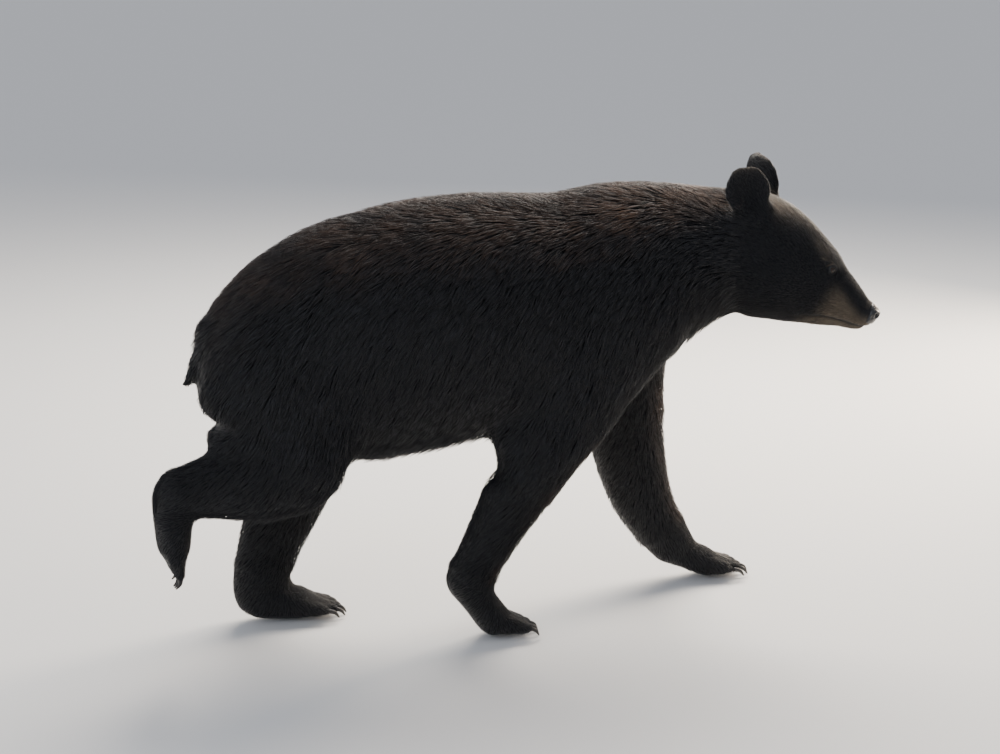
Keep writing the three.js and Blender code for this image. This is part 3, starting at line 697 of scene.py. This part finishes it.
# The tan of the muzzle sides and chin is the coat's own; the crown's share is painted rim light.
tan = np.maximum(on_head * np.maximum(0.72 * muzzle_side, 0.55 * chin) * (1 - lips), 0.7 * crown)
warm, tan = net.spread(np.stack([warm, tan], 1), 3).T


def point_values(mesh, **values):
    for name, value in values.items():
        mesh.attributes.new(name, "FLOAT", "POINT").data.foreach_set("value", value.astype(np.float32))


at_skin = {"tip": np.full(net.count, 0.1), "tone": np.full(net.count, 0.5)}
point_values(skin_mesh, warm=warm, tan=tan, bare=bare, **at_skin)


# Colours shared by the skin and the hair that grows on it.
def node(tree, kind, **settings):
    made = tree.nodes.new(kind)
    for name, value in settings.items():
        setattr(made, name, value)
    return made


def scalar(tree, operation, first, second=None):
    made = node(tree, "ShaderNodeMath", operation=operation)
    for socket, value in zip(made.inputs, (first, second)):
        if isinstance(value, (int, float)):
            socket.default_value = value
        elif value is not None:
            tree.links.new(value, socket)
    return made.outputs[0]


def span(tree, value, low, high, to_low=0.0, to_high=1.0):
    made = node(tree, "ShaderNodeMapRange", interpolation_type="SMOOTHSTEP")
    tree.links.new(value, made.inputs["Value"])
    for name, number in (("From Min", low), ("From Max", high), ("To Min", to_low), ("To Max", to_high)):
        made.inputs[name].default_value = number
    return made.outputs[0]


def mix(tree, share, first, second):
    made = node(tree, "ShaderNodeMix", data_type="RGBA")
    for socket, value in ((made.inputs[0], share), (made.inputs[6], first), (made.inputs[7], second)):
        if isinstance(value, tuple):
            socket.default_value = (*value, 1)
        else:
            tree.links.new(value, socket)
    return made.outputs[2]


def noise(tree, scale, detail=3.0):
    place = node(tree, "ShaderNodeTexCoord")
    made = node(tree, "ShaderNodeTexNoise")
    made.inputs["Scale"].default_value = scale
    made.inputs["Detail"].default_value = detail
    tree.links.new(place.outputs["Object"], made.inputs["Vector"])
    return made.outputs["Factor" if "Factor" in made.outputs else "Fac"]


def attribute(tree, name):
    return node(tree, "ShaderNodeAttribute", attribute_name=name).outputs["Fac"]


def streaks(tree, first, first_scale, second, second_scale):
    """A flat noise drawn out along two values."""
    place = node(tree, "ShaderNodeCombineXYZ")
    tree.links.new(scalar(tree, "MULTIPLY", first, first_scale), place.inputs["X"])
    tree.links.new(scalar(tree, "MULTIPLY", second, second_scale), place.inputs["Y"])
    made = node(tree, "ShaderNodeTexNoise", noise_dimensions="2D")
    made.inputs["Scale"].default_value = 1.0
    tree.links.new(place.outputs[0], made.inputs["Vector"])
    return made.outputs[0]


def new_material(name):
    """A material, its nodes and its main shader."""
    material = bpy.data.materials.new(name)
    material.use_nodes = True
    return material, material.node_tree, material.node_tree.nodes["Principled BSDF"]


def add_bump(tree, shader, height, strength, distance, **settings):
    bump = node(tree, "ShaderNodeBump", **settings)
    bump.inputs["Strength"].default_value = strength
    bump.inputs["Distance"].default_value = distance
    tree.links.new(height, bump.inputs["Height"])
    tree.links.new(bump.outputs["Normal"], shader.inputs["Normal"])


# Painted reflection: the black hair is tinted blue to stand in for the sky's sheen on the coat.
BLACK_HAIR = (0.0036, 0.0036, 0.0048)
# Painted backlight: the brown that the hair tips show where light shines through them.
BROWN_TIP = (0.118, 0.064, 0.037)
TAN_HAIR = (0.185, 0.142, 0.096)
# Tan for the muzzle and chin, also used as painted rim light on the crown.
BARE_SKIN = (0.0045, 0.0042, 0.0046)

coat_colour = bpy.data.node_groups.new("coat_colour", "ShaderNodeTree")
for name in ("Warm", "Tan", "Bare", "Tip", "Tone"):
    coat_colour.interface.new_socket(name, in_out="INPUT", socket_type="NodeSocketFloat")
coat_colour.interface.new_socket("Color", in_out="OUTPUT", socket_type="NodeSocketColor")
coat_colour.interface.new_socket("Roughness", in_out="OUTPUT", socket_type="NodeSocketFloat")
given = node(coat_colour, "NodeGroupInput").outputs
patches = span(coat_colour, noise(coat_colour, 11.0), 0.32, 0.68, 0.45, 1.25)
tipped = span(coat_colour, given["Tip"], 0.25, 1.0)
# Painted backlight: brown towards the hair tips, broken up in patches.
brown = scalar(coat_colour, "MULTIPLY", scalar(coat_colour, "MULTIPLY", given["Warm"], tipped), patches)
brown = scalar(coat_colour, "MINIMUM", brown, 1.0)
coloured = mix(coat_colour, brown, BLACK_HAIR, BROWN_TIP)
# Tan, and the crown's painted rim light, strongest towards the tips.
tanned = scalar(coat_colour, "MULTIPLY", given["Tan"], span(coat_colour, given["Tip"], 0.0, 0.8, 0.55, 1.0))
coloured = mix(coat_colour, tanned, coloured, TAN_HAIR)
lightness = span(coat_colour, given["Tone"], 0.0, 1.0, 0.55, 1.6)
toned = node(coat_colour, "ShaderNodeVectorMath", operation="SCALE")
coat_colour.links.new(coloured, toned.inputs[0])
coat_colour.links.new(lightness, toned.inputs["Scale"])
coloured = mix(coat_colour, given["Bare"], toned.outputs[0], BARE_SKIN)
dull = span(coat_colour, given["Tip"], 0.1, 0.35, 0.85, 0.44)
roughness = scalar(coat_colour, "MINIMUM", dull, span(coat_colour, given["Bare"], 0.0, 1.0, 0.90, 0.55))
result = node(coat_colour, "NodeGroupOutput")
coat_colour.links.new(coloured, result.inputs["Color"])
coat_colour.links.new(roughness, result.inputs["Roughness"])


def coat_material(name, sheen):
    """A material that takes its colour and gloss from the coat's markings and its painted backlight and rim
    light.
    """
    material, tree, shader = new_material(name)
    marked = node(tree, "ShaderNodeGroup", node_tree=coat_colour)
    for socket in ("Warm", "Tan", "Bare", "Tip", "Tone"):
        tree.links.new(attribute(tree, socket.lower()), marked.inputs[socket])
    tree.links.new(marked.outputs["Color"], shader.inputs["Base Color"])
    tree.links.new(marked.outputs["Roughness"], shader.inputs["Roughness"])
    shader.inputs["Specular IOR Level"].default_value = 0.34
    shader.inputs["Sheen Weight"].default_value = sheen
    shader.inputs["Sheen Roughness"].default_value = 0.4
    return material, tree, shader


skin_material, tree, shader = coat_material("skin", 0.0)
grain = scalar(tree, "ADD", noise(tree, 1400.0, 2.0), scalar(tree, "MULTIPLY", noise(tree, 420.0, 3.0), 0.8))
add_bump(tree, shader, grain, 0.45, 0.0006)
skin_mesh.materials.append(skin_material)

# ---- Coat ----------------------------------------------------------------------------------------
# Short, flat summer hair, stuck together in pointed tufts that overlap like shingles. Each tuft
# is one thin closed blade, rooted in the skin; the tips of neighbours draw together in locks.

rng = np.random.default_rng(11)
TUFTS = 165000
LONG_HAIR = 0.030
SUNK = 0.0015
LOCK_SHARE = 0.065
LOCK_PULL = 0.42
PATCH = 0.0015
STRAY_LONG = 13  # degrees that a tuft strays from the lie of the coat
STRAY_SHORT = 9
TURNING = 0.45
SAG = 0.18
LOWEST = 0.0008

skin_mesh.calc_loop_triangles()
triangles = read(skin_mesh.loop_triangles, "vertices", 3, np.int32)
triangle_loops = read(skin_mesh.loop_triangles, "loops", 3, np.int32)
uvs = read(skin_mesh.uv_layers["OFBake"].data, "uv", 2)
skin_tree = BVHTree.FromPolygons(points.tolist(), triangles.tolist())

corners = points[triangles]
crossed = np.cross(corners[:, 1] - corners[:, 0], corners[:, 2] - corners[:, 0])
areas = np.linalg.norm(crossed, axis=1) / 2
hairy = density * np.clip(1 - 1.6 * bare, 0, 1)
wanted = np.cumsum(areas * hairy[triangles].mean(1))
count = TUFTS
picks = np.searchsorted(wanted, (np.arange(count) + rng.random(count)) * wanted[-1] / count)
picks = np.minimum(picks, len(triangles) - 1)
first, second = np.sqrt(rng.random(count)), rng.random(count)
shares = np.stack([1 - first, first * (1 - second), first * second], 1)


def at_roots(values):
    """A value of the skin's points, read off where each tuft grows."""
    picked = values[triangles[picks]]
    return (picked * shares[:, :, None]).sum(1) if values.ndim == 2 else (picked * shares).sum(1)


roots = at_roots(points)
root_uvs = (uvs[triangle_loops[picks]] * shares[:, :, None]).sum(1)
root_depth = at_roots(depth) * (0.72 + 0.43 * rng.random(count))
root_length = at_roots(length) * (0.72 + 0.5 * rng.random(count))
root_half = at_roots(half_width) * (0.8 + 0.45 * rng.random(count))
root_hang = at_roots(hang)
# Each tuft takes the painted backlight, the tan and the crown's painted rim light from its root.
root_warm, root_tan, root_bare = at_roots(warm), at_roots(tan), at_roots(bare)
root_depth = np.minimum(root_depth, 0.22 * root_length + 0.0012 * np.minimum(root_length / 0.01, 2))
root_length *= 1 - 0.5 * root_bare

# Each centre line steps over the skin, and bends with the lie of the hair as it goes.
STEPS = (0.0, 0.34, 0.68, 1.0)
SHORT_STEPS = (0.0, 0.34, 1.0)
face_normals = crossed / np.maximum(2 * areas, 1e-12)[:, None]
face_flow = along_surface(flow[triangles].mean(1), face_normals)
root_normals = unit(at_roots(normals))
stray = np.radians(np.where(root_length > LONG_HAIR, STRAY_LONG, STRAY_SHORT)) * rng.standard_normal(count)
heading = along_surface(at_roots(flow), root_normals)
heading = heading * np.cos(stray)[:, None] + np.cross(root_normals, heading) * np.sin(stray)[:, None]
centre_line = [roots - root_normals * SUNK]
line_normals = [root_normals]
here = roots
for i in range(1, len(STEPS)):
    ahead = here + heading * (root_length * (STEPS[i] - STEPS[i - 1]))[:, None]
    found = [skin_tree.find_nearest(place) for place in ahead.tolist()]
    here = np.array([hit[0] for hit in found])
    over = np.array([hit[1] for hit in found])
    faces_under = np.array([hit[2] for hit in found])
    heading = along_surface((1 - TURNING) * heading + TURNING * face_flow[faces_under], over)
    lift = (root_depth + SUNK) * (1 - (1 - STEPS[i]) ** 2) - SUNK
    falls = down * (SAG * root_hang * root_length * STEPS[i] ** 2)[:, None]
    centre_line.append(here + over * lift[:, None] + falls)
    line_normals.append(over)
centre_line = np.stack(centre_line, 1)
line_normals = np.stack(line_normals, 1)

# Locks: tips draw towards the tip of the nearest leader.
leaders = np.flatnonzero(rng.random(count) < LOCK_SHARE)
lock_tree = KDTree(len(leaders))
for number, leader in enumerate(leaders.tolist()):
    lock_tree.insert(roots[leader], number)
lock_tree.balance()
own = leaders[[lock_tree.find(place)[1] for place in roots.tolist()]]
pull = centre_line[own, -1] - centre_line[:, -1]
loose = np.interp(root_length, (0.008, 0.026, 0.040), (0.15, 0.55, 1.0))
pull *= (LOCK_PULL * loose * np.clip(1.6 - np.linalg.norm(pull, axis=1) / root_length, 0, 1))[:, None]
for i in range(1, len(STEPS)):
    centre_line[:, i] += pull * STEPS[i] ** 2
lock_tone = rng.random(count)[own]
root_tone = np.clip(0.55 * rng.random(count) + 0.45 * lock_tone, 0, 1)
centre_line[:, :, 2] = np.maximum(centre_line[:, :, 2], LOWEST)

# Pieces of the coat: by leg, and the rest by the flesh under it and the side of the body.
under = np.array(flesh_nodes)[nodes_near(roots)]
left = roots[:, 1] > np.interp(roots[:, 0], (0.3, 0.6, 0.75), (0.0, -0.09, -0.17))
sided = np.where(left, "left", "right")
along_body = [roots[:, 0] > 0.16, roots[:, 0] > -0.16, roots[:, 0] > -0.42]
stretch = np.select(along_body, ["withers", "ribs", "loins"], "rump")
part_of = np.char.add(np.char.add(stretch, "_"), sided)
for number, place in enumerate(under):
    kind = flesh_kind(place)
    if place.startswith(("fore_", "hind_")):
        part_of[number] = "_".join(place.split("_")[:2])
    elif kind in ("head", "eye", "nose", "ear"):
        part_of[number] = "head_" + sided[number]
    elif kind in ("neck", "tail"):
        part_of[number] = kind

coat_hair = coat_material("coat_hair", 0.05)[0]


def blades(chosen, steps_used):
    """Points, triangles and tip values of closed three-sided blades, pointed at both ends."""
    index = [STEPS.index(step) for step in steps_used]
    rings_of_blade = len(index) - 2
    line, over = centre_line[chosen][:, index], line_normals[chosen][:, index]
    tangents = np.gradient(line, axis=1)
    across = unit(np.cross(over, tangents))
    up = unit(np.cross(tangents, across))
    half = root_half[chosen][:, None, None] * np.array([[1.0], [0.8]])[:rings_of_blade]
    middle, across, up = line[:, 1:-1], across[:, 1:-1], up[:, 1:-1]
    rings = np.stack([middle - across * half, middle + across * half, middle + up * 0.62 * half], 2)
    rings = rings.reshape(len(chosen), 3 * rings_of_blade, 3)
    blade_points = np.concatenate([line[:, :1], rings, line[:, -1:]], 1)
    last = 3 * rings_of_blade + 1
    faces = []
    for i in range(3):
        j = (i + 1) % 3
        faces += [(0, 1 + i, 1 + j), (last - 3 + j, last - 3 + i, last)]
        if rings_of_blade == 2:
            faces += [(1 + j, 1 + i, 4 + i), (1 + j, 4 + i, 4 + j)]
    along = np.concatenate([[0.0], np.repeat(steps_used[1:-1], 3), [1.0]])
    return blade_points, np.array(faces), along


long_hair = root_length > LONG_HAIR
for part in sorted(set(part_of)):
    places, corners_of, flats = [], [], []
    marks = {"tip": [], "tone": [], "warm": [], "tan": []}
    made = 0
    for of_kind, steps_used in ((long_hair, STEPS), (~long_hair, SHORT_STEPS)):
        chosen = np.flatnonzero((part_of == part) & of_kind)
        blade_points, blade_faces, along = blades(chosen, steps_used)
        per = len(along)
        first_points = per * np.arange(len(chosen))[:, None, None]
        corners_of.append(made + (blade_faces[None] + first_points).reshape(-1))
        places.append(blade_points.reshape(-1, 3))
        offset = np.stack([PATCH * (np.arange(per) % 3 - 1), PATCH * (2 * along - 1)], 1)
        flats.append((root_uvs[chosen][:, None] + offset[None]).reshape(-1, 2))
        marks["tip"].append(np.tile(along, len(chosen)))
        marks["tone"].append(np.repeat(root_tone[chosen], per))
        marks["warm"].append(np.repeat(root_warm[chosen], per))
        marks["tan"].append(np.repeat(root_tan[chosen], per))
        made += len(chosen) * per
    faces = np.concatenate(corners_of).astype(np.int32)
    mesh = bpy.data.meshes.new(f"coat_{part}")
    mesh.vertices.add(made)
    mesh.loops.add(len(faces))
    mesh.polygons.add(len(faces) // 3)
    mesh.vertices.foreach_set("co", np.concatenate(places).astype(np.float32).ravel())
    mesh.loops.foreach_set("vertex_index", faces)
    mesh.polygons.foreach_set("loop_start", np.arange(0, len(faces), 3, dtype=np.int32))
    mesh.update(calc_edges=True)
    mesh.shade_smooth()
    joined_marks = {name: np.concatenate(values) for name, values in marks.items()}
    point_values(mesh, bare=np.zeros(made), **joined_marks)
    layer = mesh.uv_layers.new(name="OFBake")
    layer.data.foreach_set("uv", np.concatenate(flats)[faces].astype(np.float32).ravel())
    mesh.materials.append(coat_hair)
    piece = placed(mesh.name, mesh)
    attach(piece, "root")

# ---- Nose pad ---------------------------------------------------------------------------------
# The bare, wet leather at the end of the muzzle: two comma-shaped nostrils that open to the
# sides, and a groove between them. Its rim sinks into the skin, where the fur begins.

PAD_VOXEL = 0.0013
PAD_SINK = 0.0045
NOSTRIL = {"y": 0.0118, "z": -0.057, "half": 0.0052, "deep": 0.0125}
NOSTRIL_SLIT = ((0.288, 0.0155, -0.059), (0.283, 0.0200, -0.063), (0.278, 0.0222, -0.065))

pad_raw, _, _ = joined_mesh("nose", ["nose"])
pad_mesh = remeshed(pad_raw, PAD_VOXEL)
pad_mesh.name = "nose_pad"
pad_net = Net(pad_mesh)
pad = pad_net.soften(read_points(pad_mesh), np.full(pad_net.count, 16.0))
write_points(pad_mesh, pad)
pad_normals = read_normals(pad_mesh) @ face_axes
pad = to_face(pad)
rim = PAD_RIM + PAD_BOW * (pad[:, 1] / 0.022) ** 2
sink = PAD_SINK * (1 - steps(rim - 0.001, rim + 0.007, pad[:, 0]))
pad -= pad_normals * sink[:, None]
mirrored = np.abs(pad[:, 1])
hole = np.sqrt(((mirrored - NOSTRIL["y"]) / 1.0) ** 2 + ((pad[:, 2] - NOSTRIL["z"]) / 0.95) ** 2)
front = steps(0.270, 0.278, pad[:, 0])
dent = NOSTRIL["deep"] * (1 - steps(0.0, 1.12, hole / NOSTRIL["half"]))
for slit_x, slit_y, slit_z in NOSTRIL_SLIT:
    gap = np.sqrt((pad[:, 0] - slit_x) ** 2 + (mirrored - slit_y) ** 2 + (pad[:, 2] - slit_z) ** 2)
    dent = np.maximum(dent, 0.0030 * hump(gap, 0.0034))
rolled = 0.0016 * hump(hole - 1.35 * NOSTRIL["half"], 0.0022) * (pad[:, 2] > NOSTRIL["z"] - 0.004)
parting = 0.0017 * hump(pad[:, 1], 0.0013) * (1 - steps(-0.054, -0.046, pad[:, 2]))
pad -= pad_normals * ((dent - rolled + parting) * front)[:, None]
pad = pad_net.soften(pad, np.full(pad_net.count, 1.0))
write_points(pad_mesh, from_face(pad))
pad_mesh.update()
nose_pad = placed("nose_pad", pad_mesh)
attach(nose_pad, "root")
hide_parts("nose")
pad_mesh.shade_smooth()

nose_material, tree, shader = new_material("nose_leather")
pebbles = node(tree, "ShaderNodeTexVoronoi", feature="SMOOTH_F1")
pebbles.inputs["Scale"].default_value = 620
tree.links.new(node(tree, "ShaderNodeTexCoord").outputs["Object"], pebbles.inputs["Vector"])
wear = noise(tree, 160.0)
tree.links.new(mix(tree, span(tree, wear, 0.35, 0.7), (0.0050, 0.0050, 0.0056), (0.017, 0.0155, 0.0155)),
               shader.inputs["Base Color"])
tree.links.new(span(tree, wear, 0.3, 0.7, 0.24, 0.42), shader.inputs["Roughness"])
height = scalar(tree, "ADD", pebbles.outputs["Distance"], scalar(tree, "MULTIPLY", wear, 0.5))
add_bump(tree, shader, height, 0.5, 0.0006, invert=True)
pad_mesh.materials.append(nose_material)

# ---- Eyes ----------------------------------------------------------------------------------------
# Small dark balls, brown about a round black pupil, with a clear bulge over it. They sit deep
# behind the lids and look along the gaze.

BALL_AROUND = 36
BALL_DOWN = 28
CORNEA_HALF = math.radians(34)
CORNEA_RISE = 0.0007

eye_material, tree, shader = new_material("eye")
off_gaze = attribute(tree, "off_gaze")
streaked = span(tree, streaks(tree, attribute(tree, "turn"), 60.0, off_gaze, 4.0), 0.3, 0.7)
iris = mix(tree, streaked, (0.010, 0.0046, 0.0024), (0.030, 0.0135, 0.0060))
with_pupil = mix(tree, span(tree, off_gaze, 0.20, 0.24), (0.0012, 0.0012, 0.0014), iris)
with_white = mix(tree, span(tree, off_gaze, 0.50, 0.60), with_pupil, (0.010, 0.0065, 0.0055))
tree.links.new(with_white, shader.inputs["Base Color"])
tree.links.new(span(tree, streaked, 0.0, 1.0, 0.05, 0.07), shader.inputs["Roughness"])
shader.inputs["IOR"].default_value = 1.37

for side, name in ((1, "left"), (-1, "right")):
    around = np.linspace(0, 2 * math.pi, BALL_AROUND, endpoint=False)
    down = np.linspace(0, math.pi, BALL_DOWN)[1:-1]
    bulge = CORNEA_RISE * (1 - steps(0.4 * CORNEA_HALF, CORNEA_HALF, down))
    rings = np.stack([
        np.outer(np.sin(down) * (BALL + bulge), np.cos(around)),
        np.outer(np.sin(down) * (BALL + bulge), np.sin(around)),
        np.outer(np.cos(down) * (BALL + bulge), np.ones(BALL_AROUND)),
    ], -1).reshape(-1, 3)
    ball = np.concatenate([rings, [[0, 0, BALL + CORNEA_RISE], [0, 0, -BALL]]])
    front_pole, back_pole = len(rings), len(rings) + 1
    faces = []
    for i in range(BALL_AROUND):
        j = (i + 1) % BALL_AROUND
        faces.append((front_pole, i, j))
        for row in range(len(down) - 1):
            faces.append((row * BALL_AROUND + i, (row + 1) * BALL_AROUND + i,
                          (row + 1) * BALL_AROUND + j, row * BALL_AROUND + j))
        last = (len(down) - 1) * BALL_AROUND
        faces.append((back_pole, last + j, last + i))
    eye_mesh = bpy.data.meshes.new(f"eyeball_{name}")
    eye_mesh.from_pydata(ball.tolist(), [], faces, shade_flat=False)
    eye = placed(f"eyeball_{name}", eye_mesh)
    axes = eye_axes(side) if side > 0 else eye_axes(side) * (-1, 1, 1)
    turned = np.eye(4)
    turned[:3, :3] = face_axes @ axes
    turned[:3, 3] = eye_centres[name]
    eye_mesh.transform(Matrix(turned.tolist()))
    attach(eye, "root")
    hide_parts(f"eye_{name}")
    point_values(
        eye_mesh,
        off_gaze=np.concatenate([np.repeat(down, BALL_AROUND), [0, math.pi]]),
        turn=np.concatenate([np.tile(np.abs(around / math.pi - 1), len(down)), [0, 0]]),
    )
    eye_mesh.materials.append(eye_material)

# ---- Claws ---------------------------------------------------------------------------------------
# Short, curved, dark horn, oval in section and worn blunt, one on each of the five toes. The
# root stands in the toe.

CLAW_RINGS = 11
CLAW_SIDES = 12
CLAW_BLUNT = 0.0010

horn_material, tree, shader = new_material("claw_horn")
along = attribute(tree, "along")
grain = streaks(tree, attribute(tree, "turn"), 34.0, along, 2.5)
patchy = span(tree, grain, 0.3, 0.7, 0.4, 1.0)
worn = scalar(tree, "MULTIPLY", span(tree, along, 0.45, 1.0), patchy)
horn_colour = mix(tree, worn, (0.0105, 0.0088, 0.0080), (0.045, 0.035, 0.027))
tree.links.new(horn_colour, shader.inputs["Base Color"])
tree.links.new(span(tree, grain, 0.3, 0.7, 0.30, 0.46), shader.inputs["Roughness"])
add_bump(tree, shader, grain, 0.4, 0.0004)

for claw in claw_nodes:
    centres, halves = claw_lines[claw]
    at = np.linspace(0, len(centres) - 1, CLAW_RINGS)
    line = np.stack([np.interp(at, range(len(centres)), column) for column in centres.T], 1)
    for _ in range(2):
        line[1:-1] += 0.5 * ((line[2:] + line[:-2]) / 2 - line[1:-1])
    ahead = unit(np.gradient(line, axis=0))
    across = unit(np.cross(ahead[0], ahead[-1]))
    tall = np.cross(ahead, across)
    half = np.interp(at, range(len(centres)), np.append(halves[:3], CLAW_BLUNT)[:len(centres)])
    half = np.maximum(half * 1.28, CLAW_BLUNT)
    turn_round = np.linspace(0, 2 * math.pi, CLAW_SIDES, endpoint=False)
    rings = (
        line[:, None]
        + np.cos(turn_round)[None, :, None] * across * (0.78 * half)[:, None, None]
        + np.sin(turn_round)[None, :, None] * tall[:, None] * half[:, None, None]
    ).reshape(-1, 3)
    faces = [tuple(reversed(range(CLAW_SIDES)))]
    faces.append(tuple(range((CLAW_RINGS - 1) * CLAW_SIDES, CLAW_RINGS * CLAW_SIDES)))
    for row in range(CLAW_RINGS - 1):
        for i in range(CLAW_SIDES):
            j = (i + 1) % CLAW_SIDES
            a, b = row * CLAW_SIDES, (row + 1) * CLAW_SIDES
            faces.append((a + i, a + j, b + j, b + i))
    horn_mesh = bpy.data.meshes.new(claw.replace("claw", "horn"))
    horn_mesh.from_pydata(rings.tolist(), [], faces, shade_flat=False)
    work = bmesh.new()
    work.from_mesh(horn_mesh)
    bmesh.ops.recalc_face_normals(work, faces=work.faces)
    work.to_mesh(horn_mesh)
    work.free()
    horn = placed(horn_mesh.name, horn_mesh)
    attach(horn, "root")
    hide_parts(claw)
    point_values(
        horn_mesh,
        along=np.repeat(np.linspace(0, 1, CLAW_RINGS), CLAW_SIDES),
        turn=np.tile(np.abs(turn_round / math.pi - 1), CLAW_RINGS),
    )
    horn_mesh.materials.append(horn_material)

# ---- Floor and light -------------------------------------------------------------------------
# A plain pale studio floor, wide enough to reach the skyline. Three softboxes light the bear: a
# warm one overhead, a warm one ahead of it, and a cool one on the side that is looked at.

FLOOR_HALF = 120

floor_mesh = bpy.data.meshes.new("floor")
floor_corners = [(x * FLOOR_HALF, y * FLOOR_HALF, 0) for x, y in ((-1, -1), (1, -1), (1, 1), (-1, 1))]
floor_mesh.from_pydata(floor_corners, [], [(0, 1, 2, 3)])
floor = placed("floor", floor_mesh)
floor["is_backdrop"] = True
floor_material, _, floor_shader = new_material("studio_floor")
floor_shader.inputs["Base Color"].default_value = (0.70, 0.69, 0.67, 1)
floor_shader.inputs["Roughness"].default_value = 0.9
floor_mesh.materials.append(floor_material)

world = bpy.data.worlds.new("studio")
bpy.context.scene.world = world
world.use_nodes = True
world.node_tree.nodes["Background"].inputs["Color"].default_value = (0.86, 0.9, 1, 1)
world.node_tree.nodes["Background"].inputs["Strength"].default_value = 0.75


def softbox(name, place, target, size, power, colour):
    lamp = bpy.data.lights.new(name, "AREA")
    lamp.shape = "RECTANGLE"
    lamp.size, lamp.size_y = size
    lamp.energy = power
    lamp.color = colour
    box = placed(name, lamp)
    box.location = place
    box.rotation_euler = (Vector(target) - Vector(place)).to_track_quat("-Z", "Y").to_euler()
    box.visible_camera = False


softbox("overhead", (1.1, 1.9, 2.8), (0.1, 0, 0.6), (3.0, 1.8), 290, (1, 0.93, 0.84))
softbox("ahead", (2.7, 1.5, 1.2), (0.35, 0, 0.45), (0.9, 1.6), 115, (1, 0.84, 0.66))
softbox("front", (-2.6, -3.4, 2.6), (0, 0, 0.5), (2.4, 2.0), 62, (0.80, 0.88, 1))

# ---- Size --------------------------------------------------------------------------------------
# The model's box with the hide and coat on.

low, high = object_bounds()
